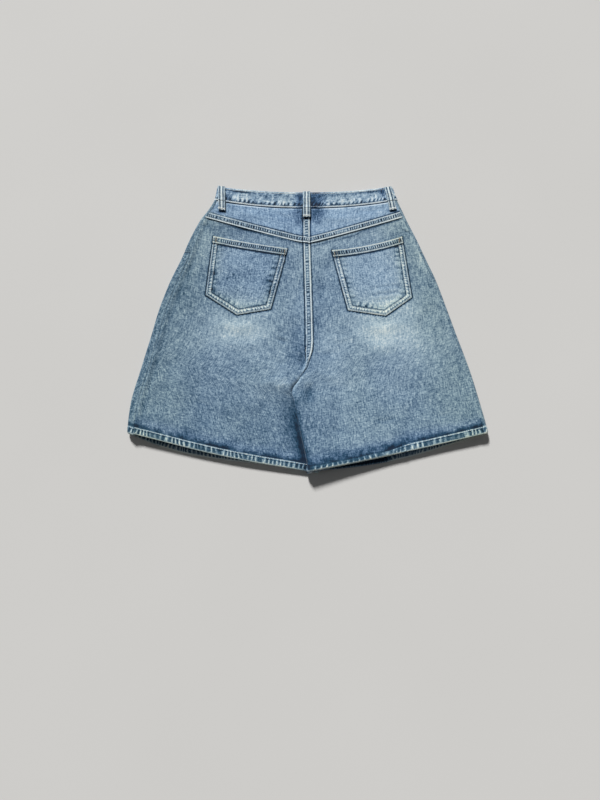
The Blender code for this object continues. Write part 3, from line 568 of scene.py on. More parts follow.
def felled(across, along, seed, wide=LAP, pitch=0.41, pits=1.25):
    """A felled seam's lap, from its folded edge: two sunk rows of stitches, small pits between them, and
    painted shade in the groove beyond it.
    """
    near, far = NEAR_ROW * wide, FAR_ROW * wide
    inside = past(across, 0, 0.03) * until(across, wide, 0.16)
    between = past(across, near + 0.04, 0.12) * until(across, far - 0.14, 0.12)
    pit = puckers(along, across, pitch, 0.15, seed, 1.5)
    height = 0.020 * between + ridges(across, (near, 0.08, -0.030), (far, 0.08, -0.030), (0, 0.06, -0.045))
    pale = 0.12 * between + ridges(
        across, (0.10, 0.13, 0.48), (far + 0.10, 0.11, 0.34),
        (near + 0.16, 0.08, -0.30), (far - 0.15, 0.08, -0.30),
    )
    # painted shade darkens the groove just beyond the lap
    groove = bump(across - wide - 0.10, 0.12)
    pit = scaled(pit, -pits * inside * between * bump(across - 0.5 * wide, 0.32 * wide))
    return Sewn(inside * height - 0.030 * groove, inside * pale - 0.90 * groove, pit)


def hemmed(from_edge, along, seed, rolled=0.0, pitch=0.60):
    """A turned hem: a worn edge, puckers, one sunk row of stitches, and deeper dye above it. The rolled
    length has gone round the edge and out of sight, and there the puckers are narrow and the dye deep."""
    seen, above, hidden = from_edge - rolled, from_edge - HEM_DEPTH, rolled / HEM_ROLL + 0 * from_edge
    inside = until(above, 0, 0.15)
    slant = 0.35 * wander(along, 0 * along, 1.4, seed + 5)
    pucker = puckers(along, from_edge, pitch, slant, seed)
    ragged = 0.16 * wander(along, 0 * along, 0.7 * pitch, seed + 6)
    middle = past(seen, 0.10, 0.16) * until(above, ragged - 0.26 * (1 - hidden), 0.24)
    low_down = mix(1.0, np.clip(1.1 - seen / 0.8, 0, 1), hidden)
    height = inside * (0.05 * ease(from_edge / MM) + 0.03 * middle) - 0.045 * bump(above + 0.08, 0.09)
    pale = inside * (0.40 * bump(seen - 0.06, 0.14) - middle * mix(0.27, 0.30, hidden))
    pale = pale + (1 - hidden) * ridges(above, (-0.02, 0.11, 0.24), (-0.26, 0.10, -0.24))
    higher = past(above, 0, 0.12) * until(above, 0.3, 0.9 + 0.9 * hidden)
    uneven = 0.8 + 0.5 * wander(along, from_edge, 0.6, seed + 7) + 0.5 * wander(along, 0 * along, 3.0, seed)
    pale = pale - (0.33 + 0.03 * hidden) * higher * uneven - 0.18 * bump(above - 0.16, 0.12)
    pucker = scaled(pucker, inside * middle * low_down * mix(0.72, 0.95, hidden))
    return Sewn(height, pale, pucker._replace(fine=mix(1.9, 5.0, hidden)))


def roll_under(points):
    """Rolls the right back hem round an edge of its own beside the crotch, where it hangs off the floor."""
    from_edge, moved = run(points), points.copy()
    rolled = HEM_ROLL * until(points[0, :, 0], ROLL_STOP, ROLL_END - ROLL_STOP)
    for column, radius in enumerate(0.4 * rolled + 0.001):
        line, at = points[:, column], from_edge[:, column]
        seen = at - rolled[column]
        turn_at = sample(radius, at, line)
        out = (line[0] - turn_at) / np.linalg.norm(line[0] - turn_at)
        turn = np.maximum(1 - seen / radius, 0)[:, None]
        bent = turn_at + radius * (out * np.sin(turn) + (np.cos(turn) - 1) * [0, 0, 1])
        moved[:, column] = np.where(turn > 0, bent, sample(seen, at, line))
    return moved, rolled


# ---------------------------------------------------------------- making a piece of cloth


def measure(points, up=1):
    """The face with its normals, turned up or down, and its distances from each edge of the grid."""
    normals = np.cross(np.gradient(points, axis=1), np.gradient(points, axis=0))
    normals /= np.maximum(np.linalg.norm(normals, axis=-1, keepdims=True), 1e-12)
    if normals[len(normals) // 2, normals.shape[1] // 2, 2] * up < 0:
        normals = -normals
    inner, low = run(points, 1), run(points, 0)
    return Face(points, normals, inner, inner[:, -1:] - inner, low, low[-1:] - low)


def loose(name, bm):
    mesh = bpy.data.meshes.new(name)
    bm.to_mesh(mesh)
    bm.free()
    piece = bpy.data.objects.new(name, mesh)
    bpy.context.scene.collection.objects.link(piece)
    return piece


def cutter(name, bm, size, middle):
    """A shape to cut with, of this size and in its place."""
    bmesh.ops.scale(bm, vec=Vector(size) * CM, verts=bm.verts)
    bmesh.ops.translate(bm, vec=Vector(middle) * CM + Vector(PLACE), verts=bm.verts)
    return loose(name, bm)


def cloth(node, face, height, wall, dye_and_shade, tint, pucker=None, thick=None, hole=None):
    """A piece of cloth: a grid put in place on its outer face, with a wall grown inwards from it. Its
    points are moved out by the height, and the face comes back so."""
    face = face._replace(points=face.points + face.normals * np.asarray(height)[..., None])
    rows, columns = face.inner.shape
    bm = bmesh.new()
    bmesh.ops.create_grid(bm, x_segments=columns - 1, y_segments=rows - 1, size=0.5)
    piece = loose(node + "_cloth", bm)
    mesh = piece.data
    flat = np.empty(len(mesh.vertices) * 3)
    mesh.vertices.foreach_get("co", flat)
    i, j = np.rint((flat.reshape(-1, 3)[:, :2] + 0.5) * (columns - 1, rows - 1)).astype(int).T
    mesh.vertices.foreach_set("co", (face.points[j, i] * CM + PLACE).ravel())
    # the dye attribute carries the dye's wear and painted shade and shadow alike
    worn = {"dye_and_shade": dye_and_shade, "tint": tint}
    if pucker is not None:
        worn |= {"pucker_" + field: values for field, values in pucker._asdict().items()}
    for label, values in worn.items():
        layer = mesh.attributes.new(label, "FLOAT", "POINT")
        layer.data.foreach_set("value", np.broadcast_to(values, face.inner.shape)[j, i].ravel())
    corners = np.empty(len(mesh.loops), int)
    mesh.loops.foreach_get("vertex_index", corners)
    cut = np.stack([face.inner, face.low], -1)[j, i] * CM
    mesh.uv_layers.new(name="cut").data.foreach_set("uv", cut[corners].ravel())
    mesh.update()
    middle = int(np.flatnonzero((i == columns // 2) & (j == rows // 2))[0])
    if np.dot(np.array(mesh.vertices[middle].normal), face.normals[rows // 2, columns // 2]) < 0:
        mesh.flip_normals()
    grown = piece.modifiers.new("wall", "SOLIDIFY")
    grown.thickness, grown.offset = wall * CM, -1
    if thick is not None:
        group = piece.vertex_groups.new(name="thick")
        shares = np.broadcast_to(thick, face.inner.shape)[j, i]
        for share in np.unique(shares):
            group.add(np.flatnonzero(shares == share).tolist(), float(share), "REPLACE")
        grown.vertex_group = group.name
    if hole is not None:
        cut_out = piece.modifiers.new("hole", "BOOLEAN")
        cut_out.object, cut_out.operation = hole, "DIFFERENCE"
    finished = piece.evaluated_get(bpy.context.evaluated_depsgraph_get())
    piece.data = bpy.data.meshes.new_from_object(finished)
    piece.modifiers.clear()
    piece.data.shade_smooth()
    piece.data.set_sharp_from_angle(angle=SHARP)
    piece.data.name = piece.name
    if hole is not None:
        bpy.data.objects.remove(hole, do_unlink=True)
    return piece, face


# ---------------------------------------------------------------- the pieces


def seat_band(y):
    """Half the breadth of the centre seam's lap: it closes towards the crotch."""
    return LAP / 2 * past(y, 17.0, 6.5)


def lap_over(points):
    """Moves a left piece's inner edge over the right one's at the centre seam."""
    moved, (x_in, y_in, _) = points.copy(), np.moveaxis(points[:, :1], -1, 0)
    moved[..., 0] += seat_band(y_in) * until(abs(points[..., 0] - x_in), 0, 2.5)
    return moved


def cross_legs(side, points):
    """Lays the right leg's inner edge over the left one's, from the crotch down to where they part."""
    x, y, z = np.moveaxis(points, -1, 0)
    gone = (x * -side).max(axis=1, keepdims=True) - x * -side
    crossing = until(y, 13.2, 1.4) * past(y, 5.0, 4.0) * until(gone, 0, 2.5)
    seam = past(y, 14.0, 0.8) * until(y, 17.2, 1.0) * until(gone, 0, 0.3)
    if side == RIGHT:
        return np.stack([x - 0.15 * crossing, y, z + 0.05 * crossing], -1)
    above = past(z, 0.25, 0.3)
    return np.stack([x + 0.45 * crossing + 0.08 * seam, y, z - above * (0.20 * crossing + 0.04 * seam)], -1)


def centre_lap(face):
    """The centre seam's lap on a left piece, measured from its own inner edge."""
    y = face.points[..., 1]
    half = np.maximum(seat_band(y), 0.01)
    there = past(y, 17.2, 1.5)
    narrowed = there * ease(half / 0.4)
    sewn = felled(face.inner * LAP / (2 * half), y, seed=11, pitch=0.56, pits=0.80)
    step, worn = until(face.inner, 2 * half, 0.18), 0.10 * until(face.inner, 2 * half, 0.10)
    height, pale = there * (LAP_RAISE * step + sewn.height), narrowed * (sewn.pale + worn)
    return Sewn(height, pale, scaled(sewn.puckers, narrowed))


def outer_tint(side, x, y):
    """How greenish the dye has gone: most of all towards the sides."""
    share = abs(x) / abs(edge_x(side, y))
    worn = bump(abs(x) - 13.5, 7) * bump(y - 26.5, 5)
    low_down = 0.12 * until(y, 10, 12) - 0.14 * bump(x, 4.5) * bump(y - 24, 10)
    return low_down + 0.48 * past(share, 0.55, 0.4) + 0.16 * worn + 0.12 * wander(x, y, 4.5, 24)


def back_dye_and_shade(node, x, y):
    """How deep or worn the back's dye is, with the patches' painted shade and shadow, and the cloth's own
    short streaks both ways.
    """
    streaks = 0.020 * wander(0.35 * x, y, 0.4, 29) + 0.016 * wander(x, 0.3 * y, 0.45, 30)
    clouds = 0.028 * wander(x, y, 2.3, 21) + 0.036 * wander(x, y, 6.5, 22)
    return DYE[node] + patch_all(x, y) + streaks + clouds


def pocket_edge_shadow(side, x, y):
    """How much painted shadow darkens the panel, close round its pocket's sewn edges."""
    distance, share = along_line(x, y, outline(POCKETS[side]))
    return 0.72 * (0.75 + 0.25 * np.sin(np.pi * share)) * bump(distance - 0.11, 0.13)


def soft_lie(x, y, seed):
    """Gentle unevenness of cloth that lies by its own weight."""
    return 0.055 * wander(x, y, 5.5, seed) + 0.028 * wander(x, y, 2.4, seed + 1)


def side_ridge(side, face, y):
    """The seam allowances pressed under the cloth beside a side seam, from the seam's own edge, with blotchy
    painted shade along the trough beside them.
    """
    across = face.outer
    uneven = (1.0 if side == LEFT else 0.55) * (0.8 + 0.4 * wander(y, 0 * y, 2.2, 31 + side))
    pucker = puckers(y, across, 0.85, 0.2, 33 + side)
    height = uneven * ridges(across, (0.25, 0.30, 0.07), (1.1, 0.4, -0.05)) - 0.025 * bump(across, 0.07)
    # blotchy painted shade along the trough beside the ridge
    trough_shade = 0.07 + 0.14 * np.maximum(wander(y, across, 1.7, 35 + side), 0)
    pale = -ridges(across, (0.06, 0.10, 0.04), (1.0, 0.55, trough_shade))
    return Sewn(height, uneven * pale, scaled(pucker, 0.10 * uneven * bump(across - 0.35, 0.25)))


def hem_wall(face):
    """The panel's wall as a share of the hem's: only the turned hem is double."""
    return np.where(face.low[:, :1] <= HEM_DEPTH + 0.04, 1.0, CLOTH / HEM_CLOTH)


def make_back_panel(side, node):
    hem_steps = steps((HEM_DEPTH / CROTCH, 18), (0.2, 12), (1, 46))
    rows = Rows(side, leg(side, False, hem_steps), body(False, steps((1, 118))[1:]))
    reach, quarter = rows.fold(False)
    turned = rows.on_fold(False, mix(rows.inseam() + rows.inseam_gap(), quarter, steps((1, 22))))
    stop = rows.width - rows.side_seam() - SEAM_GAP / 2
    wide = rows.on_back(mix(reach, stop, steps((0.93, 158), (1, 20))[1:]))
    points, rolled = np.concatenate([turned, wide], axis=1), 0.0
    if side == LEFT:
        points = lap_over(points)
    else:
        points, rolled = roll_under(points)
    face = measure(cross_legs(side, points))
    x, y, _ = np.moveaxis(face.points, -1, 0)
    up = face.normals[..., 2]
    creased = crease_all(x, y, BACK_CREASES)
    seed, pitch = {LEFT: (40, 0.78), RIGHT: (42, 1.0)}[side]
    hem, ridge = hemmed(face.low, x, seed, rolled, pitch), side_ridge(side, face, y)
    pucker = strongest(hem.puckers, ridge.puckers)
    tint = outer_tint(side, x, y) + 0.45 * until(face.low, HEM_DEPTH, 0.2) - 0.40 * bump(face.low - 2.1, 1.0)
    flat = past(face.low, 0.5 * HEM_DEPTH, HEM_DEPTH)
    dye_and_shade = back_dye_and_shade(node, x, y) + creased[1] + hem.pale + ridge.pale
    height = hem.height + ridge.height
    if side == LEFT:
        # the creases of the right leg, which lies over this one, stop at its edge
        flat = flat * (1 - past(x, inner_x(RIGHT, y), 0.4) * until(y, 11, 2))
        lap = centre_lap(face)
        height, dye_and_shade, pucker = height + lap.height, dye_and_shade + lap.pale, strongest(pucker, lap.puckers)
        tint = tint + 0.12 * until(face.inner, 2 * seat_band(y), 0.1) * past(y, 18, 2)
    else:
        beside_lap = face.inner - seat_band(points[:, :1, 1])
        leg_edge = ease((0.9 - up) / 0.4) * (x < 3) * until(y, 11, 3)
        # painted shadow of the centre seam's lap, on this panel just beside it
        dye_and_shade = dye_and_shade - 0.62 * past(y, 20, 2) * bump(beside_lap - 0.10, 0.14) + 0.22 * leg_edge
        tint = tint - 0.6 * leg_edge
    height = (height + flat * (creased[0] + soft_lie(x, y, 51))) * ease(face.high / 0.3)
    # painted shadow under the yoke's lap edge, and round the pocket's sewn edges
    dye_and_shade = dye_and_shade - 0.42 * bump(face.high - 1.32 * LAP, 0.12) + 0.08 * until(face.high, 2.5 * LAP, 2)
    dye_and_shade = dye_and_shade - pocket_edge_shadow(side, x, y)
    height = height - np.clip(-up, 0, 1) * np.maximum(height, 0)
    return cloth(node, face, height, HEM_CLOTH, dye_and_shade, tint, pucker, hem_wall(face))


def make_front_panel(side, node):
    rows = Rows(
        side,
        leg(side, True, steps((HEM_DEPTH / CROTCH, 10), (1, 34))),
        body(True, steps((1, 76))[1:]),
        yoke(True, steps((1, 18))[1:]),
        bow_at=FRONT_BOW_AT[side],
    )
    inner, outer = rows.fold(False), rows.fold(True)
    under = INSEAM_UNDER + INSEAM_PAST
    if side == RIGHT:
        under = under + np.maximum(inner_x(LEFT, rows.y_in) - rows.x_in, 0)
    start = rows.inseam() - rows.inseam_gap()
    stop = outer[1] + rows.side_seam() - outer[0] - SEAM_GAP / 2 + SIDE_PRESSED
    points = [
        rows.on_fold(False, mix(start, -inner[1] - under, steps((1, 14)))),
        rows.on_front(mix(inner[0] + under, rows.width - outer[0], steps((1, 96))[1:])),
        rows.on_fold(True, mix(-outer[1], stop, steps((1, 32))[1:])),
    ]
    face = measure(np.concatenate(points, axis=1), -1)
    x, y, _ = np.moveaxis(face.points, -1, 0)
    creased = crease_all(x, y, FRONT_CREASES)
    downwards = np.clip(-face.normals[..., 2], 0, 1)
    hem, seam = hemmed(face.low, x, 45 + side), side_ridge(side, face, y)
    sewn = hem.height + seam.height
    height = sewn - downwards * (np.maximum(sewn, 0) + abs(soft_lie(x, y, 61)) - creased[0])
    dye_and_shade = DYE[node] + creased[1] + hem.pale + seam.pale + 0.030 * wander(x, y, 1.9, 23)
    dye_and_shade = dye_and_shade + 0.14 * bump(abs(x) - 12.5, 5.0) * bump(y - 26, 9.0)
    seen_side = ease(1 - abs(face.outer - 1.6) / 1.2) * (y > 2)
    dye_and_shade = dye_and_shade - 0.14 * seen_side * np.maximum(wander(y, face.outer, 3.2, 71), 0)
    pucker = strongest(hem.puckers, seam.puckers)
    if side == RIGHT:
        # beside the crotch the right front hem is painted darker for the raised back hem's shadow, with its
        # puckers muted
        shaded = until(x, 13, 2) * until(face.low, HEM_DEPTH, 1)
        shown, dye_and_shade = 1 - shaded, dye_and_shade - 0.30 * shaded
        pucker = scaled(pucker, 1 - 0.7 * shaded)
    else:
        shown, beside_fly = past(x, -26, 2), abs(x - inner_x(LEFT, y))
        dye_and_shade = dye_and_shade + downwards * (y > FLY_LOW) * 0.22 * bump(beside_fly - 0.10, 0.16)
    # the worn pale hem edge is left off in the back hem's shadow: at the left corner, and beside the crotch
    # on the right
    dye_and_shade = dye_and_shade + shown * (0.45 * bump(face.low - 0.06, 0.14) + 0.12 * (face.low < HEM_DEPTH))
    scoop = np.hypot((abs(x) - SCOOP_X) / SCOOP_WIDE, (y - SCOOP_Y) / SCOOP_DEEP) - 1
    opening = felled(scoop * 11.5, y, 47 + side, wide=0.9)
    sewn_there = (scoop > 0) * (y > FACING_LOW - 2) * past(downwards, 0.6, 0.3)
    height, dye_and_shade = height + sewn_there * np.minimum(opening.height, 0), dye_and_shade + sewn_there * opening.pale
    pucker = strongest(pucker, scaled(opening.puckers, sewn_there))
    ring = bmesh.new()
    bmesh.ops.create_cone(ring, cap_ends=True, segments=96, radius1=1, radius2=1, depth=1)
    ring = cutter("scoop_cutter", ring, (SCOOP_WIDE, SCOOP_DEEP, 10), (side * SCOOP_X, SCOOP_Y, 0))
    return cloth(node, face, height, HEM_CLOTH, dye_and_shade, outer_tint(side, x, y), pucker, hem_wall(face), ring)


def make_yoke(side, node):
    up = np.concatenate([np.linspace(-1, 0, 19), steps((0.9, 34), (1, 8))[1:]])
    rows = Rows(side, yoke(False, up))
    stop = rows.width - rows.side_seam() - SEAM_GAP / 2
    points = rows.on_back(mix(0 * stop, stop, steps((1, 140))))
    face = measure(lap_over(points) if side == LEFT else points)
    x, y, _ = np.moveaxis(face.points, -1, 0)
    creased = crease_all(x, y, BACK_CREASES)
    lap = felled(face.low, face.inner, 81 + side)
    on_lap = until(face.low, LAP, 0.18)
    height = (creased[0] + soft_lie(x, y, 51)) * (1 - on_lap) + LAP_RAISE * on_lap + lap.height
    dye_and_shade = back_dye_and_shade(node, x, y) + creased[1] + lap.pale
    # painted shadow just under the waistband's lower edge
    dye_and_shade = dye_and_shade - 0.16 * ease(1 - face.high / 0.7) * (0.7 + 0.6 * wander(x, y, 0.9, 83))
    uneven = 1 + 0.6 * wander(x, 0 * x, 2.5, 84)
    # painted shadow of the waistband's edge, then a worn pale line below it
    dye_and_shade = dye_and_shade + ridges(face.high - BAND_LAP, (0.05, 0.12, -0.95), (0.30, 0.09, 0.48 * uneven))
    pucker = lap.puckers
    if side == LEFT:
        centre = centre_lap(face)
        height, dye_and_shade, pucker = height + centre.height, dye_and_shade + centre.pale, strongest(pucker, centre.puckers)
        dye_and_shade = dye_and_shade - 0.26 * bump(x + 1.5, 0.9) * past(y, 46, 3)
        on_lap = np.maximum(on_lap, until(face.inner, LAP, 0.1))
    else:
        # painted shadow of the centre seam's lap, on this yoke just beside it
        dye_and_shade = dye_and_shade - 0.62 * bump(face.inner - seat_band(points[:, :1, 1]) - 0.10, 0.14)
        dye_and_shade = dye_and_shade - 0.44 * bump(x - 1.8, 1.5) * past(y, 46.5, 3)
    tint = outer_tint(side, x, y) * (0.6 - 0.35 * on_lap) - 0.75 * (1 - on_lap) + 0.03 * on_lap
    return cloth(node, face, height, CLOTH, dye_and_shade, tint, pucker)


def make_facing(side, node):
    """The cloth seen in a front pocket's opening: it lies under the panel, and comes up to the side seam."""
    t_low = (FACING_LOW - CROTCH_SIDE) / (YOKE_SIDE - CROTCH_SIDE)
    rows = Rows(side, body(True, mix(t_low, 1, steps((1, 26)))), yoke(True, steps((1, 14))[1:]))
    reach, quarter = rows.fold(True)
    down = np.maximum(1 - ((SCOOP_Y - rows.y_out) / (SCOOP_DEEP + SCOOP_UNDER)) ** 2, 0)
    inner = SCOOP_X - (SCOOP_WIDE + SCOOP_UNDER) * np.sqrt(down)
    under = CLOTH + LAY_GAP
    flat = rows.on_front(mix(inner, rows.width - reach, steps((1, 36))), under)
    stop = quarter + rows.side_seam() - reach - SEAM_GAP / 2 + SIDE_PRESSED
    lengths = mix(-quarter, stop, steps((1, 30))[1:])
    beyond = np.hypot((abs(rows.x_out) - SCOOP_X) / SCOOP_WIDE, (rows.y_out - SCOOP_Y) / SCOOP_DEEP)
    open_there = ease((1 - beyond) * SCOOP_DEEP / 0.12)
    edge = rows.on_fold(True, lengths, under * (1 - open_there * ease((lengths + quarter) / quarter)))
    face = measure(np.concatenate([flat, edge], axis=1) - [0, LAY_GAP, 0], -1)
    x, y, _ = np.moveaxis(face.points, -1, 0)
    seam = side_ridge(side, face, y)
    dye_and_shade = DYE[node] + 0.03 * wander(x, y, 1.6, 25) + seam.pale
    return cloth(node, face, 0.0, CLOTH, dye_and_shade, outer_tint(side, x, y), seam.puckers)


def make_fly_shield(node):
    t_low = (FLY_LOW - CROTCH) / (YOKE_CENTRE - CROTCH)
    parts = body(True, mix(t_low, 1, steps((1, 34)))), yoke(True, steps((1, 16))[1:])
    left, right = Rows(LEFT, *parts), Rows(RIGHT, *parts)
    past_middle = right.on_front(mix(FLY_PAST, 0.04, steps((1, 5))) + 0 * right.width, CLOTH + LAY_GAP)
    under = left.on_front(mix(0.0, FLY_WIDE, steps((1, 24))) + 0 * left.width, CLOTH + LAY_GAP)
    face = measure(np.concatenate([past_middle, under], axis=1), -1)
    x, y, _ = np.moveaxis(face.points, -1, 0)
    dye_and_shade = DYE[node] + 0.03 * wander(x, y, 1.6, 27) + 0.2 * bump(face.inner - 0.1, 0.15)
    return cloth(node, face, 0.0, CLOTH, dye_and_shade, 0.0)


def waistband_strip():
    """One strip: from its outer end at the centre front round the wearer's left side, the back and the
    right side, and over the outer end on the inside."""
    t = np.concatenate([[-BAND_LAP / 3.1, -BAND_LAP / 6.2], steps((1, 30))])
    backs, fronts = ({side: Rows(side, band(front, t)) for side in (LEFT, RIGHT)} for front in (False, True))
    flat = {side: backs[side].width - backs[side].fold(True)[0] for side in (LEFT, RIGHT)}

    def over(side, front, start, stop, count):
        lengths = mix(start, stop, steps((1, count))) * flat[side]
        rows = (fronts if front else backs)[side]
        return (rows.on_front if front else rows.on_back)(lengths, -BAND_PROUD)

    def round_side(side, start, stop):
        quarter = backs[side].fold(True)[1]
        return backs[side].on_fold(True, mix(start, stop, steps((1, 22))) * quarter, -BAND_PROUD)[:, 1:-1]

    def overlap(side, start, stop, count, inset):
        return fronts[side].on_front(mix(start, stop, steps((1, count))) + 0 * flat[side], inset)

    inside = BAND_CLOTH + LAY_GAP - BAND_PROUD
    return np.concatenate([
        overlap(RIGHT, BAND_PAST, 0.05, 4, -BAND_PROUD),
        over(LEFT, True, 0, 1, 70),
        round_side(LEFT, -1, 1),
        over(LEFT, False, 1, 0.004, 130),
        over(RIGHT, False, 0.004, 1, 130),
        round_side(RIGHT, 1, -1),
        over(RIGHT, True, 1, 0.12, 60),
        overlap(RIGHT, BAND_PAST + BAND_STEP, 0.05, 6, inside),
        overlap(LEFT, 0.0, BAND_UNDER, 16, inside),
    ], axis=1)


def make_waistband(node):
    face = measure(waistband_strip())
    x, y, z = np.moveaxis(face.points, -1, 0)
    low, high, on_back = face.low, face.high, past(z, 0.7, 0.3)
    coarse = rungs(face.inner, low, 1.4, 0.05, 93)
    reach = 1.1 + 0.5 * wander(face.inner, 0 * y, 1.1, 94)
    lower = past(low, 0.32, 0.16) * until(low, reach, 0.6)
    height = 0.05 * lower * (coarse - 0.4) + 0.035 * wander(x, y, 2.6, 95)
    height = height + ridges(low, (0.20, 0.09, -0.035), (0, 0.06, -0.045))
    height = height + ridges(high, (0.32, 0.09, -0.035), (0, 0.07, -0.045), (0.14, 0.14, 0.022))
    # dark spots just above the lower stitches, pale streaks over them, and uneven wear higher up
    spots = scaled(puckers(face.inner, low, 0.80, 0.1, 91, 1.5), -0.85 * bump(low - 0.66, 0.30))
    dye_and_shade = DYE[node] + 0.16 * wander(0.4 * x, y, 0.4, 97) + 0.06 * wander(x, y, 4.5, 98)
    dye_and_shade = dye_and_shade + lower * (0.18 + 0.32 * wander(x, 0.35 * y, 0.32, 92))
    folded = 0.35 + 0.5 * wander(x, 0 * x, 3, 90) + ridges(x, (-13.8, 2.2, 0.8), (13.8, 1.5, 0.6))
    dye_and_shade = dye_and_shade + ridges(low, (0.14, 0.13, 0.62), (0.40, 0.09, -0.52))
    dye_and_shade = dye_and_shade + ridges(high, (0.16, 0.15, 0.26 * on_back), (0.52, 0.19, -0.52 * np.maximum(folded, 0.1)))
    # deep dye beside the belt loops
    deep = ridges(x, (1.3, 1.5, 0.95), (-1.3, 0.8, 0.66), (14.6, 0.5, 0.25), (-15.3, 0.5, 0.25))
    deep = deep + 0.65 * bump(x - 14.3, 0.6) * bump(high - 0.6, 0.7)
    deep = np.clip(1.35 * deep * on_back * (0.8 + 0.4 * wander(x, y, 0.6, 96)), 0, 1)
    tint = -0.10 - 0.9 * deep + 0.2 * wander(x, y, 2, 89)
    hole = bmesh.new()
    bmesh.ops.create_cube(hole, size=1)
    size = (BUTTONHOLE, 2 * (SHANK + SEAM_GAP), BAND_CLOTH + LAY_GAP)
    middle = (BUTTON_X, BUTTON_Y, PANEL_REST - BAND_PROUD + BAND_CLOTH / 2 - 0.02)
    hole = cutter("buttonhole_cutter", hole, size, middle)
    return cloth(node, face, height, BAND_CLOTH, mix(dye_and_shade, 0.12, deep), tint, spots, hole=hole)


def skin(x, y, front, on_band):
    """Height of the outer face of the panel, yoke or waistband at x, y, also on a side's round."""
    low, high = (np.where(x < 0, f(LEFT, x, y), f(RIGHT, x, y)) for f in (front_height, back_height))
    proud = np.where(on_band, BAND_PROUD, 0)
    edge = np.where(x < 0, abs(edge_x(LEFT, y)), abs(edge_x(RIGHT, y)))
    from_edge = (edge - abs(x) + proud) / ((high - low) / 2 + proud)
    turn = np.sqrt(np.maximum(1 - np.maximum(1 - from_edge, 0) ** 2, 0))
    return mix((low + high) / 2, low - proud if front else high + proud, turn)


# Places along a belt loop, in millimetres: up the waistband (0 to 1), past that, and off what it lies on
LOOP_STOPS = table(
    "length up past lift",
    (0, 0, -22, 0), (6, 0, -16, 0), (8, 0, -14, 0.3), (17, 0, -5, 0.9), (26, 0, 4, 0.5),
    (38, 0.5, 0, 1), (48, 1, -5, 0.5), (53.5, 1, 0.5, 0.2), (55.7, 1, 0.5, -2.2),
)


def make_loop(loop, node):
    """A strip sewn at both ends over the waistband, and turned over its upper edge."""
    lengths = np.concatenate([np.linspace(0, 52, 66), np.linspace(52.6, 55.7, 8)])[:, None]
    up, beyond, lift = (
        np.interp(lengths, [stop.length for stop in LOOP_STOPS], [getattr(stop, k) for stop in LOOP_STOPS])
        for k in ("up", "past", "lift")
    )
    x = mix(loop.x_low, loop.x_high, lengths / lengths[-1]) + LOOP_WIDE * np.linspace(-0.5, 0.5, 15)
    low, high = band_low(x, loop.front), band_high(x, loop.front)
    y = mix(low, high, up) + beyond * MM
    on = skin(x, np.minimum(y, high - LAY_GAP), loop.front, y > low - 0.3)
    on_lap = 1.1 * LAP_RAISE * ("centre" in node) * until(y, low - 0.4, 0.4)
    lift = LAY_GAP + MM * lift + LOOP_OUT + on_lap
    z = np.maximum(on - lift, LOOP_FLOOR) if loop.front else on + lift
    face = measure(np.stack([x, y, z], -1), -1 if loop.front else 1)
    from_side = np.minimum(face.inner, face.outer)
    height = ridges(from_side, (0.22, 0.14, 0.045), (0, 0.06, -0.05), (0.44, 0.10, -0.03))
    height = height + 0.012 * rungs(face.low, face.inner, 0.46, 0.2, 101)
    sewn = ridges(from_side, (0.12, 0.12, 0.14), (0.7, 0.20, 0.50), (0.42, 0.09, -0.72), (0, 0.06, -0.20))
    dye_and_shade = DYE["belt_loop"] + sewn + 0.08 * wander(x, 0.5 * y, 0.5, 103) + 0.40 * bump(face.low - 0.16, 0.14)
    return cloth(node, face, height, LOOP_WALL, dye_and_shade, 0.1)


# A back pocket's corners, from the outer top one round its tip to the inner top one, and its top's bow
Pocket = namedtuple("Pocket", "outer_top outer_low tip inner_low inner_top top_bow")
POCKETS = {
    LEFT: Pocket((-17.6, 44.5), (-18.6, 32.6), (-12.8, 28.7), (-6.7, 29.8), (-3.7, 41.9), 0.1),
    RIGHT: Pocket((17.8, 44.4), (19.1, 32.1), (14.2, 28.5), (7.4, 29.6), (4.6, 41.6), 0.45),
}


def outline(pocket):
    """Its sewn sides and bottom."""
    return pocket[:5]


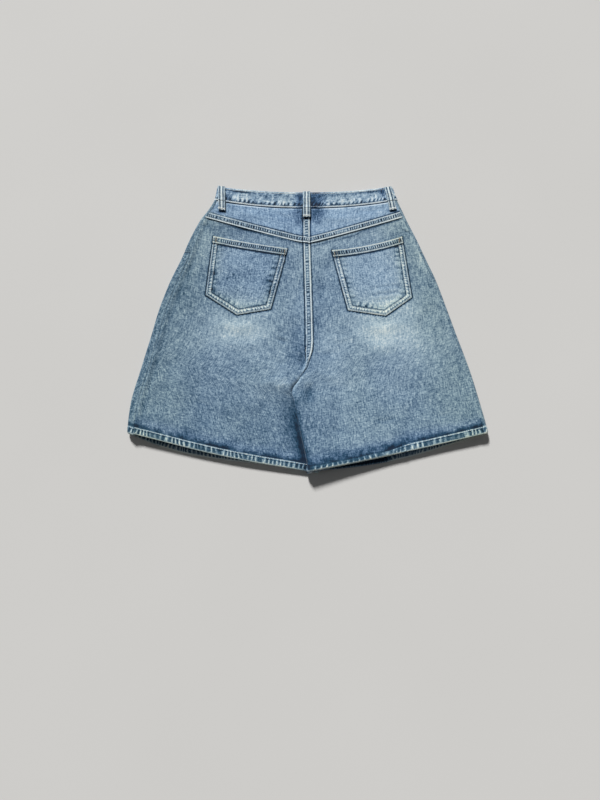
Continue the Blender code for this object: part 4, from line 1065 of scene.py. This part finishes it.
def make_pocket(side, node):
    pocket = POCKETS[side]
    outer_top, outer_low, tip, inner_low, inner_top = np.array(outline(pocket))
    across = steps((1, 100))
    up = np.concatenate([steps((0.86, 78)), np.linspace(0.86, 1, 18)[1:]])[:, None, None]
    first, second = np.clip(2 * across, 0, 1)[:, None], np.clip(2 * across - 1, 0, 1)[:, None]
    low = mix(mix(outer_low, tip, first), inner_low, second)
    high = mix(outer_top, inner_top, across[:, None])
    high[:, 1] -= pocket.top_bow * 4 * across * (1 - across)
    x, y = np.moveaxis(mix(low, high, up), -1, 0)
    under = crease_all(x, y, BACK_CREASES)[0] + soft_lie(x, y, 51)
    face = measure(np.stack([x, y, back_height(side, x, y) + LAY_GAP + CLOTH + under], -1))
    from_side, share = along_line(x, y, outline(pocket))
    along = share * 40
    top = felled(face.high, face.inner, 111 + side, wide=POCKET_HEM)
    in_hem, below_hem = until(face.high, POCKET_HEM, 0.14), face.high - POCKET_HEM
    sides = past(from_side, 0.26, 0.12) * until(from_side, 0.72, 0.12)
    inside = past(from_side, 0.94, 0.15) * until(from_side, 1.6, 0.7)
    waves = (along, from_side, 1.1, 0.2, 119 + side, 2.0)
    height = ridges(from_side, (0, 0.07, -0.05), (0.20, 0.08, -0.03), (0.82, 0.09, -0.035))
    height = height + 0.030 * inside * (0.6 - rungs(*waves))
    height = mix(height, 0.08 + top.height - 0.05 * bump(from_side, 0.07), in_hem)
    sewn = 0.06 * inside - 0.04 * sides + ridges(
        from_side, (0.10, 0.13, 0.14), (0.36, 0.12, -0.46), (0.76, 0.11, 0.06), (1.02, 0.12, -0.42)
    )
    uneven = np.clip(0.5 + 0.7 * wander(x, y, 2, 119), 0, 1)
    shown = strongest(
        scaled(puckers(along, from_side, 0.60, 0.3, 115 + side), (1 - in_hem) * sides * 0.62),
        scaled(puckers(*waves), (1 - in_hem) * inside * uneven * -0.62),
        scaled(top.puckers, in_hem),
    )
    corner = 0.05 + 0.24 * bump(from_side - 0.10, 0.16)
    corner = corner - 0.40 * bump(from_side - 0.7, 0.4) * bump(face.high - 0.7, 0.4)
    grain = 0.018 * wander(x, y, 1.1, 20) + 0.03 * wander(x, y, 2.3, 21) + 0.02 * wander(x, y, 5.0, 28)
    streaks = 0.030 * wander(0.3 * x, y, 0.4, 26) + 0.016 * wander(x, 0.3 * y, 0.45, 30)
    dye_and_shade = DYE[node] + patch_all(x, y) + grain + streaks + mix(sewn, top.pale + corner, in_hem)
    # painted shadow under the pocket hem's lower edge
    dye_and_shade = dye_and_shade + ridges(below_hem, (-0.08, 0.11, 0.06), (0.19, 0.16, -0.60))
    if side == RIGHT:
        # shallow creases across the right pocket, painted darker as shade
        for y_line, strength in ((34.2, 0.10), (32.9, 0.16), (31.7, 0.08)):
            line = bump(y - y_line - 0.3 * wander(x, 0 * x, 2, 121), 0.28) * past(x, 10.5, 3)
            dye_and_shade, height = dye_and_shade - strength * line, height - 0.03 * line
    tint = outer_tint(side, x, y) - 0.3 * (1 - in_hem) * past(y, 31, 4)
    tint = tint + 0.40 * bump(from_side - 0.9, 1.1) + 0.10 * in_hem
    return cloth(node, face, height, CLOTH, dye_and_shade, tint, shown)


# ---------------------------------------------------------------- stitches

STITCH, STITCH_SIZE = 0.33, (0.27, 0.075, 0.045)
TACKED = {"pitch": 0.07, "long": 0.06, "skew": math.radians(75)}  # close threads, side by side
SUNK = -0.008  # the front's rows are sunk, because the front lies on the surface


def line_in(face, edge, distance, keep=None):
    """Points and normals of a face, this far in from one of its edges."""
    fields = [getattr(face, edge), face.points, face.normals]
    if edge in ("inner", "outer"):
        fields = [field.swapaxes(0, 1) for field in fields]
    if edge in ("outer", "high"):
        fields = [field[::-1] for field in fields]
    away, *fields = fields
    columns = range(away.shape[1])
    found = [np.stack([sample(distance, away[:, c], field[:, c]) for c in columns]) for field in fields]
    there = slice(None) if keep is None else keep(found[0])
    return [field[there] for field in found]


def settle(face, line):
    """Points and normals of a face under or over a line of x and y."""
    places = face.points.reshape(-1, 3)
    tree = kdtree.KDTree(len(places))
    for index, (x, y, _) in enumerate(places):
        tree.insert((x, y, 0), index)
    tree.balance()
    line = np.array(line)
    at = run(line)
    xy = sample(np.linspace(0, at[-1], max(int(at[-1] / MM), 2)), at, line)
    nearest = [tree.find((x, y, 0))[1] for x, y in xy]
    points, normals = places[nearest], face.normals.reshape(-1, 3)[nearest]
    z = points[:, 2] - ((xy - points[:, :2]) * normals[:, :2] / normals[:, 2:]).sum(1)
    return np.column_stack([xy, z]), normals


def seats(line, pitch=STITCH, long=STITCH_SIZE[0], skew=0.0, proud=0.012):
    """A place and three directions for each stitch along a line."""
    points, normals = line
    at, made = run(points), []
    for middle in np.arange(pitch / 2, at[-1] - pitch / 2, pitch):
        start, stop = (sample(middle + half, at, points) for half in (-long / 2, long / 2))
        normal = sample(middle, at, normals)
        along = (stop - start) / max(np.linalg.norm(stop - start), 1e-9)
        along = along * math.cos(skew) + np.cross(normal, along) * math.sin(skew)
        made.append(((start + stop) / 2 + normal * proud, along, np.cross(normal, along), normal))
    return made


def sew(name, places, thread):
    """One small rounded bar of thread at each place, joined as one mesh. None goes below the surface."""
    bm = bmesh.new()
    bmesh.ops.create_uvsphere(bm, u_segments=6, v_segments=4, radius=0.5)
    one = bpy.data.meshes.new(name + "_one")
    bm.to_mesh(one)
    for _ in places[1:]:
        bm.from_mesh(one)
    piece = loose(name, bm)
    bar = np.array([v.co for v in one.vertices])[:, [2, 0, 1]] * STITCH_SIZE
    bpy.data.meshes.remove(one)
    middles, *directions = (np.array(field) for field in zip(*places))
    corners = (middles[:, None] + bar @ np.stack(directions, 1)).reshape(-1, 3)
    corners[:, 2] = np.maximum(corners[:, 2], 0)
    piece.data.vertices.foreach_set("co", (corners * CM + PLACE).ravel())
    piece.data.materials.append(thread)
    piece.data.shade_smooth()
    piece.data.update()
    return piece


def moved_in(corners, distance):
    """An open outline's corners, moved in by this distance: its inside is on its left."""
    corners = np.array(corners)
    along = np.diff(corners, axis=0)
    along /= np.linalg.norm(along, axis=1, keepdims=True)
    starts = corners[:-1] + distance * np.stack([-along[:, 1], along[:, 0]], -1)
    moved = [starts[0]]
    for p, u, q, v in zip(starts, along, starts[1:], along[1:]):
        moved.append(p + u * np.linalg.solve(np.stack([u, -v], 1), q - p)[0])
    return [*moved, starts[-1] + corners[-1] - corners[-2]]


def opening_line(side, distance):
    """Round a front pocket's opening, from the waistband to the side."""
    wide, deep, turns = SCOOP_WIDE + distance, SCOOP_DEEP + distance, np.linspace(0.27, 1.54, 40)
    return [(side * (SCOOP_X - wide * math.cos(t)), SCOOP_Y - deep * math.sin(t)) for t in turns]


def fly_line(distance):
    """Down beside the fly, then round to the middle."""
    bend, low, turns = FLY_LOW + 4.5, 3.6 + 0.6 * distance / FLY_ROWS[1], np.linspace(0, 0.48 * math.pi, 16)
    return [(-distance, 48.9), *((-distance * math.cos(t), bend - low * math.sin(t)) for t in turns)]


def centre_line(distance):
    """Beside the front's centre seam, from the crotch up to the fly."""
    return [(inner_x(LEFT, y) - distance, y) for y in np.linspace(17.0, FLY_LOW - 0.5, 16)]


def past_roll(points):
    return points[:, 0] > ROLL_END - 1.5


def on_seat(points):
    return (points[:, 1] > 21.5) & (points[:, 1] < 43.2)


def above_yoke_seam(points):
    return points[:, 1] > 44.8


def panel_stitches(side):
    back, front, upper = (faces[kind + NAMED[side]] for kind in ("back_panel_", "front_panel_", "back_yoke_"))
    lines = [line_in(front, "low", HEM_ROW)]
    lines += [settle(front, opening_line(side, distance)) for distance in OPENING_ROWS]
    if side == LEFT:
        lines += [settle(front, fly_line(distance)) for distance in FLY_ROWS]
        lines += [settle(front, centre_line(distance)) for distance in CENTRE_ROWS]
    made = [seats(line, proud=SUNK) for line in lines]
    made.append(seats(line_in(back, "low", HEM_ROW, past_roll if side == RIGHT else None)))
    for distance in (NEAR_ROW * LAP, FAR_ROW * LAP):
        made.append(seats(line_in(upper, "low", distance)))
        if side == LEFT:
            made.append(seats(line_in(upper, "inner", distance, above_yoke_seam)))
            made.append(seats(line_in(back, "inner", distance, on_seat)))
    return sum(made, [])


def pocket_stitches(side):
    face, edge = faces["back_pocket_" + NAMED[side]], outline(POCKETS[side])
    made = [seats(settle(face, moved_in(edge, -side * distance)))[1:-1] for distance in POCKET_ROWS]
    made += [seats(line_in(face, "high", share * POCKET_HEM)) for share in (NEAR_ROW, FAR_ROW)]
    return sum(made, [])


def pocket_tacks(side):
    """Close threads down from each top corner of a pocket."""
    face, pocket, made = faces["back_pocket_" + NAMED[side]], POCKETS[side], []
    for (x, y), towards in ((pocket.outer_top, -side), (pocket.inner_top, side)):
        x = x + 0.5 * towards
        made += seats(settle(face, [(x, y - 1.25), (x, y - 0.25)]), **TACKED)
    return made


def loop_stitches(face):
    made = seats(line_in(face, "inner", LOOP_SIDE_ROW)) + seats(line_in(face, "outer", LOOP_SIDE_ROW))
    return made + seats(line_in(face, "low", LOOP_END_ROW), **TACKED)


# ---------------------------------------------------------------- finishes


class Tree:
    """Short ways to add and join shader nodes."""

    def __init__(self, tree):
        self.tree = tree

    def fill(self, node, inputs):
        for key, value in inputs.items():
            if isinstance(value, bpy.types.NodeSocket):
                self.tree.links.new(value, node.inputs[key])
            else:
                node.inputs[key].default_value = value
        return node

    def add(self, kind, inputs=None, **settings):
        node = self.tree.nodes.new(kind if kind.startswith("Node") else "ShaderNode" + kind)
        for key, value in settings.items():
            setattr(node, key, value)
        return self.fill(node, inputs or {})

    def work(self, operation, a, b=0.0, clamp=False):
        return self.add("Math", {0: a, 1: b}, operation=operation, use_clamp=clamp).outputs[0]

    plus = partialmethod(work, "ADD")
    minus = partialmethod(work, "SUBTRACT")
    times = partialmethod(work, "MULTIPLY")

    def place(self):
        return self.add("TexCoord").outputs["Object"]

    def noise(self, vector, scale, detail=2.0, roughness=0.5):
        inputs = {"Vector": vector, "Scale": scale, "Detail": detail, "Roughness": roughness}
        return self.add("TexNoise", inputs).outputs["Fac"]

    def stretch(self, vector, scale, turn=0.0):
        inputs = {"Vector": vector, "Scale": scale, "Rotation": (0, 0, turn)}
        return self.add("Mapping", inputs).outputs["Vector"]

    def blend(self, share, first, second, kind="MIX"):
        inputs = {"Factor": share, 6: first, 7: second}
        return self.add("Mix", inputs, data_type="RGBA", blend_type=kind).outputs[2]

    def relief(self, strength, depth, height):
        inputs = {"Strength": strength, "Distance": depth * CM, "Height": height}
        return self.add("Bump", inputs).outputs["Normal"]


def start_material(name):
    material = bpy.data.materials.new(name)
    material.use_nodes = True
    return material, Tree(material.node_tree)


def finish_material(material, inputs):
    """Gives the surface its looks: inputs by their names."""
    Tree(material.node_tree).fill(material.node_tree.nodes["Principled BSDF"], inputs)
    return material


def srgb(red, green, blue):
    """A colour in linear light from its usual 0 to 255 numbers."""
    parts = [c / 255 for c in (red, green, blue)]
    return (*(c / 12.92 if c <= 0.04045 else ((c + 0.055) / 1.055) ** 2.4 for c in parts), 1)


# Colours of the denim, from its deepest dye to where it is worn white; painted shade takes the darker ones
# too
DYE_AND_SHADE_COLOURS = {
    0.00: srgb(0, 27, 49), 0.20: srgb(26, 66, 93), 0.42: srgb(84, 110, 136),
    0.55: srgb(115, 140, 161), 0.75: srgb(157, 180, 195), 1.00: srgb(212, 222, 224),
}
GREENISH, BLUISH = (1.10, 1.06, 0.85, 1), (0.91, 1.01, 1.18, 1)


def make_denim_group():
    """Indigo denim: its dye with painted shade, tint and puckers come in, and colour, gloss and height of its
    weave come out.
    """
    group = bpy.data.node_groups.new("denim_face", "ShaderNodeTree")
    given = {"Dye_and_shade": 0.5, "Tint": 0.0, "Pucker": 0.0, "Place": 0.0, "Fine": 1.0, "Heather": 1.0}
    for name, value in given.items():
        made = group.interface.new_socket(name=name, in_out="INPUT", socket_type="NodeSocketFloat")
        made.default_value = value
    for name, kind in {"Colour": "Color", "Roughness": "Float", "Height": "Float"}.items():
        group.interface.new_socket(name=name, in_out="OUTPUT", socket_type="NodeSocket" + kind)
    tree = Tree(group)
    plus, minus, times = tree.plus, tree.minus, tree.times
    given = tree.add("NodeGroupInput").outputs
    cut, solid = tree.add("UVMap", uv_map="cut").outputs["UV"], tree.place()
    cloud, fleck = tree.noise(solid, 330.0, 2.0, 0.6), tree.noise(solid, 760.0, 2.0, 0.6)
    slub = tree.noise(tree.stretch(cut, (3.0, 0.45, 1)), 150.0, 2.0, 0.6)
    weft = tree.noise(tree.stretch(cut, (0.5, 3.0, 1)), 140.0, 2.0, 0.6)
    lines = {"Vector": tree.stretch(cut, (1, 1, 1), math.radians(28)), "Scale": 330.0, "Distortion": 2.6}
    twill = tree.add("TexWave", lines | {"Detail": 1.0, "Detail Scale": 2.0}).outputs["Fac"]
    mottle = 0.0
    for part, amount in ((cloud, 0.66), (fleck, 0.40), (slub, 0.64), (weft, 0.38)):
        mottle = plus(mottle, times(minus(part, 0.5), amount))
    rubbed = times(minus(1.3, times(given["Dye_and_shade"], 0.6)), given["Heather"])
    faded = plus(0.2, times(given["Dye_and_shade"], 2.2), clamp=True)
    mottle = times(mottle, times(faded, rubbed))
    place = plus(given["Place"], times(minus(cloud, 0.5), 0.5))
    wave = plus(times(tree.work("COSINE", times(place, 2 * math.pi)), 0.5), 0.5, clamp=True)
    pucker = times(tree.work("POWER", wave, given["Fine"]), given["Pucker"])
    wear_and_shade = plus(plus(given["Dye_and_shade"], pucker), mottle)
    wear_and_shade = plus(wear_and_shade, times(minus(twill, 0.5), 0.04), clamp=True)
    ramp = tree.add("ValToRGB", {"Fac": wear_and_shade})
    bands = ramp.color_ramp
    while len(bands.elements) < len(DYE_AND_SHADE_COLOURS):
        bands.elements.new(0.5)
    for element, (position, colour) in zip(bands.elements, DYE_AND_SHADE_COLOURS.items()):
        element.position, element.color = position, colour
    green = tree.work("MAXIMUM", given["Tint"], 0.0)
    colour = tree.blend(green, ramp.outputs["Color"], GREENISH, "MULTIPLY")
    blue = times(tree.work("MINIMUM", given["Tint"], 0.0), -1.0)
    colour = tree.blend(blue, colour, BLUISH, "MULTIPLY")
    relief = plus(plus(times(twill, 0.3), times(fleck, 0.6)), plus(times(slub, 0.5), times(pucker, 1.6)))
    rough = plus(0.74, times(fleck, 0.2))
    tree.add("NodeGroupOutput", {"Colour": colour, "Roughness": rough, "Height": relief})
    return group


def make_denim(name, group, heather):
    """Denim for one kind of piece. Its dye with painted shade, tint and puckers lie on the piece itself."""
    material, tree = start_material(name)
    carried = {"Dye_and_shade": "dye_and_shade", "Tint": "tint"}
    carried |= {"Pucker": "pucker_change", "Place": "pucker_place", "Fine": "pucker_fine"}
    inputs = {key: tree.add("Attribute", attribute_name=name).outputs["Fac"] for key, name in carried.items()}
    face = tree.add("Group", node_tree=group)
    tree.fill(face, inputs | {"Heather": heather})
    return finish_material(material, {
        "Base Color": face.outputs["Colour"],
        "Roughness": face.outputs["Roughness"],
        "Normal": tree.relief(0.35, 0.025, face.outputs["Height"]),
        "Sheen Weight": 0.12,
        "Sheen Roughness": 0.5,
        "Specular IOR Level": 0.25,
    })


def make_thread(name, pale, deep):
    """Twisted cotton thread, rubbed unevenly."""
    material, tree = start_material(name)
    place = tree.place()
    twist = tree.noise(place, 2600.0, 1.0)
    return finish_material(material, {
        "Base Color": tree.blend(tree.noise(place, 180.0, 3.0), deep, pale),
        "Normal": tree.relief(0.4, 0.01, twist),
        "Roughness": tree.plus(0.5, tree.times(twist, 0.3)),
    })


def make_aged_brass():
    material, tree = start_material("aged_brass")
    place = tree.place()
    scratch = tree.noise(tree.stretch(place, (1, 9, 1)), 500.0, 2.0)
    tarnish = tree.times(tree.minus(tree.noise(place, 320.0, 4.0, 0.6), 0.35), 1.8, clamp=True)
    return finish_material(material, {
        "Base Color": tree.blend(tarnish, srgb(176, 146, 92), srgb(98, 78, 52)),
        "Roughness": tree.plus(0.26, tree.times(tarnish, 0.3)),
        "Normal": tree.relief(0.25, 0.01, scratch),
        "Metallic": 1.0,
    })


# ---------------------------------------------------------------- the studio

CAMERA_AT = (-1.35, -14.4, 101.9)
CAMERA_TILT = 15.0  # degrees from straight down
CAMERA_LENS, SENSOR = 27.0, 36.0
FLOOR_REACH = 6.0  # in metres
WINDOW_FROM = (-0.45, 1.40, 1.02)
WINDOW_SOFT = 11.0  # degrees across, as seen from the floor
WINDOW_POWER, ROOM_POWER = 4.9, 0.12


def put_in(name, data):
    added = bpy.data.objects.new(name, data)
    bpy.context.scene.collection.objects.link(added)
    return added


def make_floor():
    bm = bmesh.new()
    bmesh.ops.create_grid(bm, x_segments=1, y_segments=1, size=FLOOR_REACH)
    floor = loose("floor", bm)
    material, tree = start_material("pale_floor")
    cloud = tree.noise(tree.place(), 3.0, 2.0)
    colour = tree.blend(cloud, (0.59, 0.58, 0.56, 1), (0.62, 0.61, 0.59, 1))
    floor.data.materials.append(finish_material(material, {"Base Color": colour, "Roughness": 0.9}))


def make_camera():
    camera = put_in("camera", bpy.data.cameras.new("camera"))
    camera.location = Vector(CAMERA_AT) * CM + Vector(PLACE)
    camera.rotation_euler = (math.radians(CAMERA_TILT), 0, 0)
    camera.data.lens, camera.data.sensor_width = CAMERA_LENS, SENSOR
    bpy.context.scene.camera = camera


def make_lights():
    """A window's even light from beyond the waist, a little to the left, and soft light all round."""
    window = put_in("window", bpy.data.lights.new("window", "SUN"))
    window.data.energy, window.data.angle = WINDOW_POWER, math.radians(WINDOW_SOFT)
    window.location = WINDOW_FROM
    window.rotation_euler = (-Vector(WINDOW_FROM)).to_track_quat("-Z", "Y").to_euler()
    world = bpy.data.worlds.new("room")
    bpy.context.scene.world = world
    world.use_nodes = True
    room = {"Color": (0.96, 0.98, 1.0, 1), "Strength": ROOM_POWER}
    Tree(world.node_tree).fill(world.node_tree.nodes["Background"], room)
    bpy.context.scene.view_settings.view_transform = "Standard"


# ---------------------------------------------------------------- putting it together

for start_object in list(bpy.data.objects):
    bpy.data.objects.remove(start_object, do_unlink=True)
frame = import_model()
button_low, button_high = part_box("button")
PLACE = np.array([
    (button_low.x + button_high.x) / 2 - BUTTON_X * CM,
    (button_low.y + button_high.y) / 2 - BUTTON_Y * CM,
    button_low.z,
])

make_camera()
make_lights()
make_floor()

denim_face = make_denim_group()
denim_body = make_denim("denim_body", denim_face, 1.1)
denim_trim = make_denim("denim_trim", denim_face, 1.25)
denim_band = make_denim("denim_band", denim_face, 1.55)
thread_pale = make_thread("thread_pale", srgb(234, 236, 231), srgb(204, 209, 206))
thread_tan = make_thread("thread_tan", srgb(152, 148, 134), srgb(102, 99, 88))

# A record for a piece's cut, flat, in metres
Cut = namedtuple("Cut", "wide long area rests_on")
faces = {}


def put_on(node, make, material, *given):
    """Makes a piece in its solid's stead, and keeps its face for the stitches."""
    piece, faces[node] = make(*given, node)
    piece.data.materials.clear()
    piece.data.materials.append(material)
    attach(piece, "root")
    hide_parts(node)


for side, name in NAMED.items():
    put_on("back_panel_" + name, make_back_panel, denim_body, side)
    put_on("front_panel_" + name, make_front_panel, denim_body, side)
    put_on("back_yoke_" + name, make_yoke, denim_trim, side)
    put_on("front_facing_" + name, make_facing, denim_body, side)
for side, name in NAMED.items():
    put_on("back_pocket_" + name, make_pocket, denim_trim, side)
put_on("waistband", make_waistband, denim_band)
put_on("fly_shield", make_fly_shield, denim_trim)

LOOPS = table(
    "node x_low x_high front",
    ("belt_loop_back_centre", -0.1, -0.1, False),
    ("belt_loop_back_left", -16.2, -16.4, False),
    ("belt_loop_back_right", 16.3, 15.4, False),
    ("belt_loop_front_left", -8.4, -8.4, True),
    ("belt_loop_front_right", 8.4, 8.4, True),
)
for loop in LOOPS:
    put_on(loop.node, make_loop, denim_trim, loop)

button = frame["nodes"]["button"]
button.data.materials.clear()
button.data.materials.append(make_aged_brass())

# stitches
pale_stitches = panel_stitches(LEFT) + panel_stitches(RIGHT)
pale_stitches += pocket_stitches(LEFT) + pocket_stitches(RIGHT)
for edge, distance in (("low", BAND_LOW_ROW), ("high", BAND_HIGH_ROW)):
    pale_stitches += seats(line_in(faces["waistband"], edge, distance))
for loop in LOOPS:
    pale_stitches += loop_stitches(faces[loop.node])
tan_stitches = pocket_tacks(LEFT) + pocket_tacks(RIGHT)
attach(sew("stitches_pale", pale_stitches, thread_pale), "root")
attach(sew("stitches_tan", tan_stitches, thread_tan), "root")
